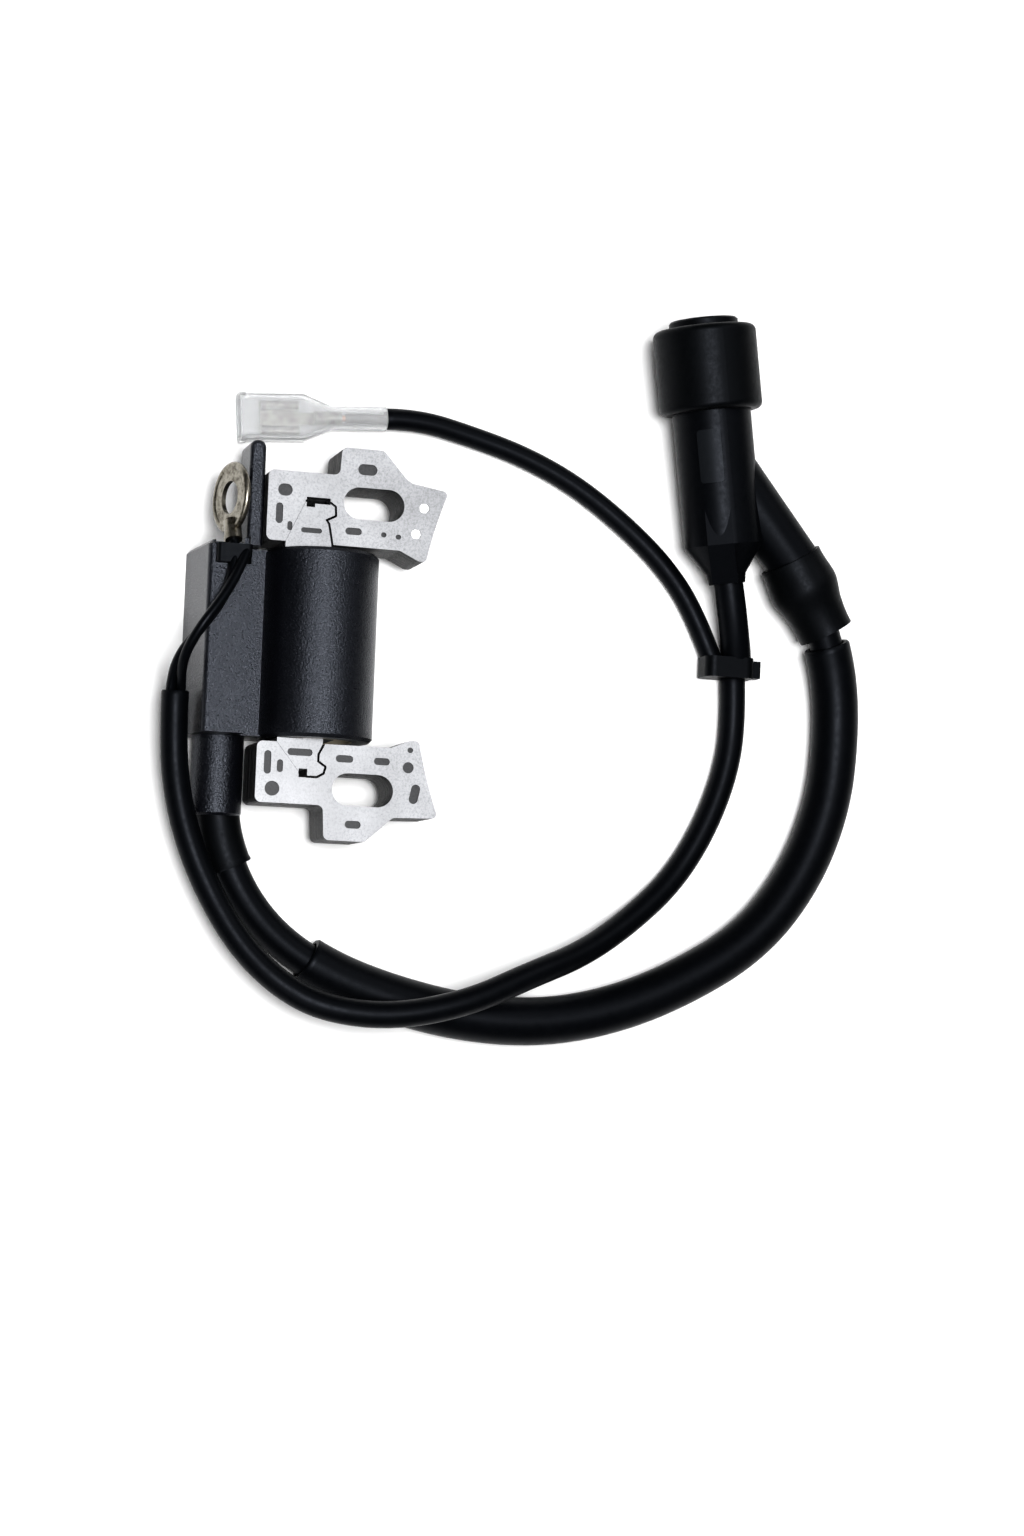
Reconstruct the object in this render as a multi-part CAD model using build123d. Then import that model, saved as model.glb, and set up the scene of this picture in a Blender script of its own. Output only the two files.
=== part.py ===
# Flywheel ignition coil of a small four-stroke engine: laminated U core, potted coil and trigger
# circuit, high-tension lead with plug cap, and a kill lead with ring and spade terminals.
# Millimetres. The origin is the centre of the tower-end mounting slot on the core's back face,
# +Z is the lamination normal, +Y points to the flywheel, +X from the wire-end leg to the tower end.
from build123d import *
from math import atan2, cos, degrees, hypot, radians, sin, tan
import os

# ---- fits ----
slip = 0.05                 # gap between parts that are pushed together
winding_gap = 0.05          # gap between one winding layer and the next bobbin

# ---- laminated core ----
slot_pitch = 57.0           # between the two mounting slots, along X
slot_length = 12.4          # along Y, lets the air gap be set
slot_width = 6.4            # clears an M6 bolt
stack_t = 12.0              # lamination stack thickness
pole_radius = 90.4          # pole faces, flywheel radius plus the air gap
pole_center_y = 99.7        # flywheel axis
leg_corner_r = 1.2          # punched corners of the legs
pole_tip_r = 0.9            # corners at the ends of the pole arc
leg_left_y = -21.55         # far end of the legs from the flywheel
leg_inner_out = -8.65       # inner edge of the legs, measured outward from the slot
leg_overrun_y = 20.0        # leg outline before the pole arc is cut
stake_depth = 0.4           # interlock stakes in the front lamination
rivet_d = 2.0               # two flush rivets through the wire-end leg
rivet_short = 0.1           # rivet ends below the faces of the stack
rivet_spots = [(10.3, 0.1), (8.8, -5.2)]
key_slit = 0.45             # open slit round the hooked key of the center bar
key_left = {-1: (-13.9, -0.6), 1: (-13.0, -3.0)}
key_hook = {                # (y, outward) of the hook, -1 at the wire end and +1 at the tower end
    -1: [(-9.4, -0.3), (-8.0, -1.2), (-7.9, -2.8), (-9.8, -3.8), (-9.2, -4.7)],
    1: [(-12.0, -2.3), (-9.4, -2.3), (-8.2, -3.0), (-7.9, -4.1), (-9.4, -5.1), (-9.4, -6.6)]}
key_relief = {              # opening beside the tip of the hook: y0, y1, out0, out1
    -1: [(-13.7, -8.9, -0.8, 0.45), (-13.7, -12.0, -1.5, 0.45)],
    1: [(-13.0, -11.3, -3.6, -1.9)]}
bar_mark = {-1: (-12.5, -6.2, 4.2, 1.0), 1: (-12.9, -6.8, 5.0, 1.4)}

# ---- center bar ----
bar_y0 = -12.5
bar_y1 = -5.5
shoulder_y0 = -17.6
shoulder_y1 = -8.4

# ---- housing ----
barrel_y = -9.0             # barrel axis
barrel_z = stack_t / 2
barrel_r = 11.6
barrel_x0 = 9.9 - slot_pitch
barrel_x1 = -9.6
barrel_wall = 1.0
barrel_chamfer = 0.7
box_x0 = -47.6
web_x0 = barrel_x0 + 0.3
box_x1 = -9.8
box_y0 = -34.1              # at the rim of the open back
box_top_y0 = -32.7          # the left wall leans in toward the front
box_y1 = -24.4
box_z0 = barrel_z - barrel_r
box_z1 = 12.4
box_wall = 1.6
box_edge_r = 1.2
web_y1 = -15.0
web_z0 = -4.0
web_z1 = 7.5
passage_half = 3.0          # opening through the web for the leads of the coil
passage_x = -17.0
passage_z = 2.0
potting_recess = 0.8        # resin level below the rim of the open back
tongue_x0 = -68.2
tongue_y0 = -25.2
tongue_y1 = -22.0
tongue_z0 = 2.0
tongue_z1 = 11.4
tongue_edge_r = 0.9
tongue_tip_r = 1.55

# ---- coil ----
bar_clear_r = 7.05          # primary bobbin bore, clears the corners of the bar
bobbin_wall = 0.6
primary_build = 0.7
secondary_wall = 0.45
secondary_build = 1.05
flange_t = 1.0
secondary_inset = 1.6       # secondary bobbin is shorter than the cavity by this at each end

# ---- wire entry ----
notch_x1 = -43.0
notch_y0 = -31.4
notch_z0 = 9.4
clip_z1 = 14.2
wire_r = 1.0

# ---- ring terminal ----
ring_x = -56.4
ring_y = -28.3
ring_z = 9.5
ring_od = 13.8
ring_neck_len = 3.2
ring_neck_w = 3.2
ring_crimp_len = 3.6
ring_hole_d = 6.6
ring_t = 0.9
ring_rim_r = 0.5
ring_tilt = 73.0            # plate stands nearly upright
ring_crimp_r = 1.7

# ---- high-tension tower ----
tower_y = -27.2
tower_z = 0.6
tower_r = 5.2
tower_x1 = 6.0
tower_chamfer = 0.5
pin_r = 0.8
pin_head_r = 2.6
pin_head_t = 0.6
pin_reach = 2.5             # how far a contact spike runs into the conductor of the lead

# ---- high-tension lead ----
lead_r = 3.5
conductor_r = 0.9
tower_boot_r = 4.4
tower_boot_start = 6.8      # lengths along the lead from its end in the tower
tower_boot_end = 21.6
lead_sleeve_r = 4.9
lead_sleeve_bore_r = 3.9
lead_sleeve_start = 46.5
lead_sleeve_end = 216.0
lead_points = [
    (-5.5, -27.2, 0.6), (4.5, -27.2, 0.6), (14.5, -24.6, 0.4), (23.5, -19.6, 0.0), (31.0, -12.0, -0.5),
    (36.8, -1.5, -0.7), (41.0, 11.5, -0.7), (44.0, 26.0, -0.7), (44.6, 41.5, -0.7), (41.8, 56.5, -0.7),
    (35.8, 71.5, -0.7), (26.0, 87.5, -0.7), (12.5, 98.0, -0.7), (-3.0, 104.0, -0.7), (-18.0, 105.4, -0.7),
    (-30.8, 104.2, 0.4), (-42.0, 99.9, 2.3), (-55.3, 91.9, 3.0), (-64.8, 83.8, 3.8)]

# ---- kill lead ----
kill_sleeve_r = 2.7
kill_sleeve_bore_r = 2.3
wire_spread = 1.1           # each of the two wires off the axis of their sleeve
kill_points = [
    (-18.0, -37.1, 6.0), (-8.0, -37.0, 5.2), (3.0, -35.4, 4.3), (13.5, -32.0, 4.0), (23.0, -27.3, 4.6),
    (31.5, -21.8, 6.0), (38.6, -14.5, 8.4), (43.2, -5.5, 10.8), (44.4, 8.5, 12.3), (41.0, 24.0, 12.3),
    (35.0, 37.0, 9.0), (30.2, 49.5, 3.5), (23.0, 60.8, -1.2), (14.2, 70.5, -2.9), (3.0, 77.3, -2.9),
    (-9.5, 81.8, -2.9), (-20.5, 83.0, -2.9), (-29.0, 82.4, -2.6)]
branch_r = 2.2
branch_bore_r = 1.5
branch_points = [
    (-32.6, 78.0, -3.2), (-42.5, 73.8, -3.4), (-52.0, 66.7, -3.4), (-60.3, 57.0, -3.4),
    (-67.4, 46.4, -3.4), (-72.4, 35.2, -3.4), (-75.6, 23.5, -3.4), (-77.94, 12.0, -2.85),
    (-77.4, 5.2, -2.85)]
stub_r = 3.1
stub_bore_r = 1.8
stub_points = [(-32.6, 82.9, -1.6), (-40.3, 80.6, 2.2), (-51.1, 78.3, 2.9)]
ground_exit = [
    (-51.0, -28.1, 10.6), (-43.6, -27.7, 13.6), (-34.4, -30.6, 14.6), (-29.4, -35.0, 15.6),
    (-24.0, -38.9, 11.4)]
kill_exit = [
    (-46.0, -25.35, 13.0), (-39.2, -25.5, 13.9), (-33.6, -28.4, 14.6), (-28.0, -34.0, 17.2),
    (-22.6, -37.6, 13.4)]

# ---- splitter collar ----
collar_x0 = -33.2
collar_x1 = -28.9
collar_y0 = 75.2
collar_y1 = 85.9
collar_z1 = 2.0
collar_wall = 0.85
collar_edge_r = 2.0
collar_tab_y1 = 87.8

# ---- spade terminal and its clear sleeve ----
spade_start = (-75.0, -25.2, -2.85)
spade_azimuth = degrees(atan2(30.4, -2.4))
clear_w = 9.5
clear_h = 5.5
clear_wall = 0.7
clear_wide_len = 13.2
clear_neck_at = 19.1
clear_neck_r = 2.45
clear_len = 30.45
spade_at = 4.5
spade_len = 7.8
spade_w = 7.2
spade_t = 0.8
spade_roll_r = 1.0
spade_crimp_at = 15.5
spade_crimp_end = 21.0
spade_crimp_r = 1.4
strand_r = 0.6
strand_end = 22.0

# ---- plug cap, lengths along its axis from the branching point ----
cap_center = (-74.7, 74.4, 4.6)
cap_azimuth = 9.0
cap_dip = 4.0
cap_r = 8.2
cap_front = -22.8
cap_shoulder = 18.8
cap_tail = 26.8
cap_tail_r = 3.8
seal_r = 10.75
seal_front = -26.6
seal_back = -9.0
seal_edge_r = 1.4
lip_r = 7.2
lip_t = 1.7
plug_bore_r = 5.7           # takes the ribbed insulator of a spark plug
plug_seat = -18.3           # the insulator stops here, at the mouth of the clip
plug_core_r = 5.2
plug_bore_end = -6.5
entry_base = (-74.7, 75.4, 4.6)       # on the axis of the cable entry
entry_azimuth = 40.5
entry_dip = 3.6
entry_r = 5.7
entry_len = 29.0
boot_len = 17.2
boot_at = 1.1               # from the knee of the lead
boot_top_r = 7.0
boot_end_r = 5.85
resistor_r = 2.5
resistor_s0 = -4.5
resistor_s1 = 5.0
clip_s0 = -17.0
clip_s1 = -9.0
clip_r = 4.0
clip_wall = 0.5
panel_w = 5.0
panel_len = 11.0
panel_t = 0.45
panel_turn = 28.0           # turned toward -Y
rib_turn = 25.0
rib_start = 11.5
rib_half_w = 2.7
rib_start_r = 7.75          # crest of the wedge, flush with the body at its start
rib_crest_r = 8.35


# ---------------------------------------------------------------- helpers
def slab(x0, x1, y0, y1, z0, z1):
    """Box between two corners."""
    return Pos((x0 + x1) / 2, (y0 + y1) / 2, (z0 + z1) / 2) * Box(x1 - x0, y1 - y0, z1 - z0)


def rod_x(radius, x0, x1, y, z):
    """Cylinder along X."""
    return Pos((x0 + x1) / 2, y, z) * Rot(0, 90, 0) * Cylinder(radius, x1 - x0)


def rod_between(a, b, radius):
    """Cylinder from point a to point b."""
    run = Vector(*b) - Vector(*a)
    return extrude(Plane(a, z_dir=run) * Circle(radius), run.length)


def ring_x_axis(outer, inner, x0, x1, y, z):
    """Tube along X."""
    return rod_x(outer, x0, x1, y, z) - rod_x(inner, x0 - 1, x1 + 1, y, z)


def bend_radii(points):
    """One bend radius per corner, from the shorter run beside it."""
    radii = []
    for a, b, c in zip(points, points[1:], points[2:]):
        run_in = Vector(*b) - Vector(*a)
        run_out = Vector(*c) - Vector(*b)
        turn = radians(run_in.get_angle(run_out))
        radii.append(0.45 * min(run_in.length, run_out.length) / tan(turn / 2))
    return radii


def route(points):
    """Center line of a cord: straight runs joined by tangent arcs."""
    return Wire(FilletPolyline(*points, radius=bend_radii(points)).edges())


def swept(path, outer, inner=0.0):
    """Round cord or tube along a center line."""
    section = Circle(outer)
    if inner > 0:
        section = section - Circle(inner)
    return sweep(Plane(path @ 0, z_dir=path % 0) * section, path=path)


def offset_points(points, side):
    """Corner points of a route that runs beside another one, side > 0 on its left seen from above."""
    moved = []
    for i, point in enumerate(points):
        ahead = Vector(*points[min(i + 1, len(points) - 1)]) - Vector(*point)
        behind = Vector(*point) - Vector(*points[max(i - 1, 0)])
        ahead = ahead if ahead.length > 0 else behind
        behind = behind if behind.length > 0 else ahead
        left_in = Vector(-behind.Y, behind.X, 0).normalized()
        left_out = Vector(-ahead.Y, ahead.X, 0).normalized()
        middle = (left_in + left_out).normalized()
        stretch = 1 / middle.dot(left_in)
        moved.append(tuple(Vector(*point) + middle * (side * stretch)))
    return moved


def part_of(path, start, end):
    """The stretch of a center line between two lengths along it."""
    return path.trim(start / path.length, end / path.length)


# ---------------------------------------------------------------- core
def leg_spot(end, y, out):
    """Leg coordinates to XY. end is +1 at the tower end and -1 at the wire end."""
    return ((0.0 if end > 0 else -slot_pitch) + end * out, y)


def flat_shape(end, spots):
    """Face in XY from leg coordinates, its corners taken counter-clockwise so that it faces +Z."""
    corners = [leg_spot(end, y, out) for y, out in spots]
    twice_area = sum(a[0] * b[1] - b[0] * a[1] for a, b in zip(corners, corners[1:] + corners[:1]))
    return Polygon(*(corners if twice_area > 0 else corners[::-1]), align=None)


def key_outline(end):
    """Hooked end of the center bar inside a leg, in XY."""
    spots = [(shoulder_y0, leg_inner_out - 0.3), (shoulder_y0, leg_inner_out), key_left[end]]
    spots = spots + key_hook[end] + [(shoulder_y1, leg_inner_out), (shoulder_y1, leg_inner_out - 0.3)]
    key = flat_shape(end, spots)
    for y0, y1, out0, out1 in key_relief[end]:
        key = key - flat_shape(end, [(y0, out0), (y1, out0), (y1, out1), (y0, out1)])
    return key


def key_pocket(end):
    """Pocket of the key: tight on its slanted side, an open slit elsewhere."""
    left_y, left_out = key_left[end]
    tight = [(shoulder_y0 - slip, leg_inner_out - 1), (shoulder_y0 - slip, leg_inner_out),
             (left_y - slip, left_out), (left_y - slip, 2.0), (0.0, 2.0), (0.0, leg_inner_out - 1)]
    pocket = offset(key_outline(end), amount=key_slit, kind=Kind.ARC) & flat_shape(end, tight)
    for y0, y1, out0, out1 in key_relief[end]:
        pocket = pocket + flat_shape(end, [(y0, out0), (y1, out0), (y1, out1), (y0, out1)])
    return pocket


def stake(end, y, out, along_y, along_x, turn):
    """Shallow rounded recess in the front lamination."""
    long_side = max(along_y, along_x)
    short_side = min(along_y, along_x)
    angle = 90 if along_y > along_x else 0
    place = Pos(*leg_spot(end, y, out), stack_t) * Rot(0, 0, angle + turn)
    return extrude(place * SlotOverall(long_side, short_side), stake_depth, dir=(0, 0, -1))


def pole_tips(body):
    """The two upright edges where the pole arc meets the sides of a leg."""
    tips = []
    for edge in body.edges().filter_by(Axis.Z):
        spot = edge.center()
        reach = hypot(spot.X + slot_pitch / 2, spot.Y - pole_center_y)
        if abs(reach - pole_radius) < 0.01:
            tips.append(edge)
    return tips


def leg(end, outline, stakes, rivets):
    """One leg of the core: outline, pole face, slot, key pocket and interlock stakes."""
    blank = flat_shape(end, outline)
    blank = fillet(blank.vertices(), leg_corner_r)
    blank = blank - Pos(-slot_pitch / 2, pole_center_y) * Circle(pole_radius)
    slot_at = leg_spot(end, 0.0, 0.0)
    blank = blank - Pos(*slot_at) * SlotOverall(slot_length, slot_width, rotation=90)
    blank = blank - key_pocket(end)
    for y, out in rivets:
        blank = blank - Pos(*leg_spot(end, y, out)) * Circle(rivet_d / 2 + slip)
    body = extrude(blank, stack_t, dir=(0, 0, 1))
    body = fillet(pole_tips(body), pole_tip_r)
    for y, out, along_y, along_x, turn in stakes:
        body = body - stake(end, y, out, along_y, along_x, turn)
    return body


def wire_end_leg():
    outline = [(leg_left_y, leg_inner_out), (5.6, -8.8), (9.6, -10.7), (leg_overrun_y, -10.7),
               (leg_overrun_y, 3.0), (7.6, 4.9), (6.4, 5.7), (1.6, 11.0), (-6.9, 11.0),
               (-7.2, 5.35), (leg_left_y, 5.35)]
    stakes = [(-1.6, 6.85, 3.9, 2.2, 0), (-18.1, 1.5, 2.9, 2.4, 0), (-19.1, -3.2, 1.4, 4.1, 0),
              (-16.9, -5.6, 1.0, 1.8, 0), (-4.0, -5.7, 3.3, 1.4, 0),
              (2.2, -5.9, 1.1, 1.0, 0), (5.2, -6.1, 1.1, 1.0, 0)]
    return leg(-1, outline, stakes, rivet_spots)


def tower_end_leg():
    outline = [(leg_left_y, leg_inner_out), (5.4, -8.75), (9.4, -10.4), (leg_overrun_y, -10.4),
               (leg_overrun_y, 4.65), (6.4, 5.1), (0.8, 10.2), (-7.5, 10.2),
               (-7.9, 3.4), (leg_left_y, 3.4)]
    stakes = [(-3.9, -6.0, 3.5, 1.4, 0), (3.7, -5.9, 3.2, 1.4, 0), (9.1, -5.0, 2.21, 2.2, 0),
              (10.6, 0.2, 1.8, 3.9, -12), (-1.7, 6.9, 3.2, 1.5, 0), (-19.3, -4.5, 1.4, 4.6, 0),
              (-16.8, -3.9, 1.2, 2.5, 0), (-18.2, 0.6, 2.91, 2.9, 0), (9.4, -8.5, 1.11, 1.1, 0)]
    return leg(1, outline, stakes, [])


def core_rivets():
    """Two plain pins that hold the laminations of the wire-end leg together."""
    length = stack_t - 2 * rivet_short
    pins = [Pos(*leg_spot(-1, y, out), stack_t / 2) * Cylinder(rivet_d / 2, length) for y, out in rivet_spots]
    return Compound(children=pins)


def center_bar():
    """Bar through the coil, with a shoulder and a hooked key at each end."""
    flat = Sketch() + Pos(-slot_pitch / 2, (bar_y0 + bar_y1) / 2) * Rectangle(
        barrel_x1 - barrel_x0 - 0.2, bar_y1 - bar_y0)
    for end, face_x in ((-1, barrel_x0), (1, barrel_x1)):
        inner_x = leg_spot(end, 0, leg_inner_out)[0]
        outer_x = face_x + end * 0.1
        flat = flat + Pos((inner_x + outer_x) / 2, (shoulder_y0 + shoulder_y1) / 2) * Rectangle(
            abs(inner_x - outer_x) + 0.02, shoulder_y1 - shoulder_y0)
        flat = flat + Pos(face_x, (bar_y0 + shoulder_y1) / 2) * Rectangle(1.0, shoulder_y1 - bar_y0)
        flat = flat + key_outline(end)
    bar = extrude(flat, stack_t, dir=(0, 0, 1))
    for end in (-1, 1):
        bar = bar - stake(end, *bar_mark[end], 0)
    return bar


# ---------------------------------------------------------------- coil and housing
cavity_r = barrel_r - barrel_wall
cavity_x0 = barrel_x0 + barrel_wall
cavity_x1 = barrel_x1 - barrel_wall
primary_r = bar_clear_r + bobbin_wall
primary_flange_r = primary_r + primary_build
secondary_bore_r = primary_flange_r + winding_gap
secondary_r = secondary_bore_r + secondary_wall
secondary_flange_r = secondary_r + secondary_build + 0.1
secondary_x0 = cavity_x0 + secondary_inset
secondary_x1 = cavity_x1 - secondary_inset
well_x0 = web_x0 + box_wall
well_x1 = box_x1 - box_wall
well_y0 = box_y0 + box_wall
well_y1 = box_y1 - box_wall
well_z1 = notch_z0 - box_wall


def bobbin(bore, wall, flange, x0, x1, end_t):
    """Spool with one flange at each end, its flanges end_t in from x0 and x1 when end_t > 0."""
    spool = rod_x(bore + wall, x0, x1, barrel_y, barrel_z)
    spool = spool + rod_x(flange, x0 + end_t, x0 + end_t + flange_t, barrel_y, barrel_z)
    spool = spool + rod_x(flange, x1 - end_t - flange_t, x1 - end_t, barrel_y, barrel_z)
    return spool - rod_x(bore, x0 - 1, x1 + 1, barrel_y, barrel_z)


def primary_bobbin():
    return bobbin(bar_clear_r, bobbin_wall, primary_flange_r, barrel_x0, barrel_x1, barrel_wall)


def primary_winding():
    x0 = cavity_x0 + flange_t
    x1 = cavity_x1 - flange_t
    return ring_x_axis(primary_flange_r - 0.1, primary_r, x0, x1, barrel_y, barrel_z)


def secondary_bobbin():
    return bobbin(secondary_bore_r, secondary_wall, secondary_flange_r, secondary_x0, secondary_x1, 0.0)


def secondary_winding():
    return ring_x_axis(secondary_r + secondary_build, secondary_r, secondary_x0 + flange_t,
                       secondary_x1 - flange_t, barrel_y, barrel_z)


def cavity():
    """Space inside the housing: round the coil, the circuit well, and the passage between them."""
    space = rod_x(cavity_r, cavity_x0, cavity_x1, barrel_y, barrel_z)
    space = space + slab(well_x0, well_x1, well_y0, well_y1, box_z0 - 1, well_z1)
    return space + slab(passage_x - passage_half, passage_x + passage_half, well_y1 - 0.5,
                        barrel_y, passage_z - passage_half, passage_z + passage_half)


def coil_housing(lead_cut, boot_cut):
    """Moulded barrel, circuit box, tower and tongue in one piece."""
    side = Polyline((box_y0, box_z0), (box_y1, box_z0), (box_y1, box_z1), (box_top_y0, box_z1), close=True)
    box = extrude(Plane((box_x0, 0, 0), x_dir=(0, 1, 0), z_dir=(1, 0, 0)) * make_face(side), box_x1 - box_x0)
    long_edges = box.edges().filter_by(Axis.X).group_by(Axis.Z)[-1]
    box = fillet(long_edges.sort_by(Axis.Y)[0], box_edge_r)
    front_corner = [edge for edge in box.edges() if abs(edge.center().X - box_x0) < 0.01
                    and edge.center().Y < box_top_y0 + box_edge_r and edge.center().Z > box_z0 + 0.5]
    box = chamfer(front_corner, 0.9)
    web = slab(web_x0, box_x1, box_y1 - 1.5, web_y1, web_z0, web_z1)
    barrel = rod_x(barrel_r, barrel_x0, barrel_x1, barrel_y, barrel_z)
    barrel = chamfer(barrel.edges(), barrel_chamfer)
    tower = rod_x(tower_r, box_x1 - 0.5, tower_x1, tower_y, tower_z)
    tower = chamfer(tower.edges().sort_by(Axis.X)[-1], tower_chamfer)
    tongue = slab(tongue_x0, box_x0 + 0.5, tongue_y0, tongue_y1, tongue_z0, tongue_z1)
    tongue = fillet(tongue.edges().filter_by(Axis.Z).group_by(Axis.X)[0], tongue_tip_r)
    tongue_rim = tongue.edges().group_by(Axis.Z)[-1].filter_by(lambda edge: edge.center().X < box_x0)
    tongue = fillet(tongue_rim, tongue_edge_r)
    body = box + web + barrel + tower + tongue
    body = body - cavity()
    body = body - rod_x(primary_r + slip, barrel_x0 - 1, barrel_x1 + 1, barrel_y, barrel_z)
    body = body - slab(box_x0 - 1, notch_x1, notch_y0, box_y1 + 0.01, notch_z0, box_z1 + 1)
    lead_x = lead_points[0][0]
    body = body - rod_x(pin_r, well_x1 - 1, lead_x, tower_y, tower_z)
    body = body - rod_x(lead_r + slip, lead_x - pin_head_t, lead_x + 1, tower_y, tower_z)
    return body - lead_cut - boot_cut


def ht_contact_pin():
    """Spike that runs from the coil through the tower into the end of the lead."""
    lead_x = lead_points[0][0]
    pin = rod_x(pin_r, well_x1 - 3.0, lead_x + pin_reach, tower_y, tower_z)
    return pin + rod_x(pin_head_r, lead_x - pin_head_t, lead_x, tower_y, tower_z)


board_y0 = well_y0 + 0.8
board_t = 1.4
board_y1 = board_y0 + board_t


def ignition_circuit_board():
    return slab(well_x0 + 3.0, well_x1 - 3.5, board_y0, board_y1, box_z0 + 2.2, well_z1 - 1.0)


def power_transistor():
    """Flat power device lying on the board, with a metal tab standing on its end."""
    body = slab(-24.0, -17.6, board_y1, board_y1 + 2.2, -1.0, 5.2)
    return body + slab(-23.6, -18.0, board_y1, board_y1 + 0.6, 5.2, 6.4)


def storage_capacitor():
    body = slab(-37.0, -29.6, board_y1, board_y1 + 2.8, -1.6, 4.4)
    return fillet(body.edges().filter_by(Axis.Y), 1.0)


def trigger_resistor():
    return rod_x(0.9, -36.5, -31.5, board_y1 + 0.9, 6.0)


def potting_epoxy(inside):
    """Resin that fills the cavity round everything inside it."""
    fill = cavity() - rod_x(secondary_bore_r, cavity_x0 - 1, cavity_x1 + 1, barrel_y, barrel_z)
    fill = fill - slab(well_x0 - 1, well_x1 + 1, well_y0 - 1, well_y1 + 1, box_z0 - 2,
                       box_z0 + potting_recess)
    for piece in inside:
        fill = fill - piece
    return fill


# ---------------------------------------------------------------- wire entry and ring terminal
def wire_clip_block(wires):
    """Grommet in the notch of the box that holds the two wires."""
    block = slab(web_x0 + slip, notch_x1 - slip, notch_y0 + slip, box_y1 - slip, notch_z0, clip_z1)
    block = fillet(block.edges().filter_by(Axis.X).group_by(Axis.Z)[-1], 0.8)
    for wire in wires:
        block = block - wire
    return block


ring_frame = Pos(ring_x, ring_y, ring_z) * Rot(ring_tilt, 0, 0)


def ring_terminal():
    """Eyelet plate with a rolled rim, a neck and a crimp barrel round the ground wire."""
    flat = Circle(ring_od / 2) - Circle(ring_hole_d / 2)
    plate = extrude(flat, ring_t / 2, both=True)
    rim = Torus(ring_od / 2 - ring_rim_r, ring_rim_r + ring_t / 4)
    neck = Pos(ring_od / 2 + 0.2, 0, 0) * Box(ring_neck_len, ring_neck_w, ring_t)
    eyelet = ring_frame * (plate + rim + neck)
    start = Vector(*ground_exit[0])
    run = (Vector(*ground_exit[1]) - start).normalized()
    back = start - run * 0.7
    barrel = rod_between(back, start + run * ring_crimp_len, ring_crimp_r)
    bore = rod_between(start, start + run * (ring_crimp_len + 1), wire_r)
    return eyelet + barrel - bore - ring_frame * Cylinder(ring_hole_d / 2, ring_od)


# ---------------------------------------------------------------- collar
def splitter_collar(cuts):
    """Clamp that splits the two wires of the kill lead, with a small tab at its side."""
    mid_z = (box_z0 + collar_z1) / 2
    body = slab(collar_x0, collar_x1, collar_y0, collar_y1, box_z0, collar_z1)
    body = fillet(body.edges().filter_by(Axis.X), collar_edge_r)
    body = body + slab(collar_x0 + 0.4, collar_x1 - 0.3, collar_y1 - 0.5, collar_tab_y1,
                       mid_z - 1.5, mid_z + 1.5)
    hollow = slab(collar_x0 + collar_wall, collar_x1 - collar_wall, collar_y0 + 1.0, collar_y1 - 1.0,
                  box_z0 + collar_wall, collar_z1 - collar_wall)
    body = body - hollow
    for cut in cuts:
        body = body - cut
    return body


# ---------------------------------------------------------------- spade
spade_frame = Location(Plane(spade_start, x_dir=(cos(radians(spade_azimuth)), sin(radians(spade_azimuth)), 0),
                             z_dir=(0, 0, 1)))


def clear_shell(shrink, length):
    """Solid envelope of the clear sleeve, shrunk by a wall all round."""
    wide = Pos(clear_wide_len / 2, 0, 0) * Box(clear_wide_len, clear_w - 2 * shrink, clear_h - 2 * shrink)
    wide = fillet(wide.edges().filter_by(Axis.X), 1.8 - shrink)
    base = Plane((clear_wide_len, 0, 0), x_dir=(0, 1, 0), z_dir=(1, 0, 0))
    tip = Plane((clear_neck_at, 0, 0), x_dir=(0, 1, 0), z_dir=(1, 0, 0))
    taper = loft([base * RectangleRounded(clear_w - 2 * shrink, clear_h - 2 * shrink, 1.8 - shrink),
                  tip * Circle(clear_neck_r - shrink)])
    neck = rod_x(clear_neck_r - shrink, clear_neck_at, length, 0, 0)
    return wide + taper + neck


def spade_sleeve_clear():
    mouth = Pos(0.5, 0, 0) * Box(1.0, clear_w - 2 * clear_wall, clear_h - 2 * clear_wall)
    bore = clear_shell(clear_wall, clear_len + 1)
    lip = Pos(0.6, 0, 0) * Box(1.2, clear_w + 0.5, clear_h)
    lip = fillet(lip.edges().filter_by(Axis.X), 1.8)
    return spade_frame * (clear_shell(0.0, clear_len) + lip - bore - mouth)


def spade_terminal():
    """Female tab terminal: floor with two rolled edges, a neck and a crimp barrel."""
    floor_z = -1.3
    mid = spade_at + spade_len / 2
    body = Pos(mid, 0, floor_z) * Box(spade_len, spade_w - 2 * spade_roll_r, spade_t)
    for side in (-1, 1):
        roll = rod_x(spade_roll_r, spade_at, spade_at + spade_len, side * (spade_w / 2 - spade_roll_r), -0.7)
        body = body + roll - rod_x(0.45, spade_at - 1, spade_at + spade_len - 1,
                                   side * (spade_w / 2 - spade_roll_r), -0.7)
    neck_x0 = spade_at + spade_len
    body = body + slab(neck_x0 - 0.5, spade_crimp_at + 0.5, -1.2, 1.2,
                       floor_z - spade_t / 2, floor_z + spade_t / 2)
    body = body + slab(spade_crimp_at, spade_crimp_at + 0.8, -1.2, 1.2, floor_z - spade_t / 2, 0)
    crimp = rod_x(spade_crimp_r, spade_crimp_at, spade_crimp_end, 0, 0)
    return spade_frame * (body + crimp - rod_x(strand_r, spade_crimp_at + 0.4, spade_crimp_end + 1, 0, 0))


def spade_strands():
    return spade_frame * rod_x(strand_r, spade_crimp_at + 0.4, strand_end, 0, 0)


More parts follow.
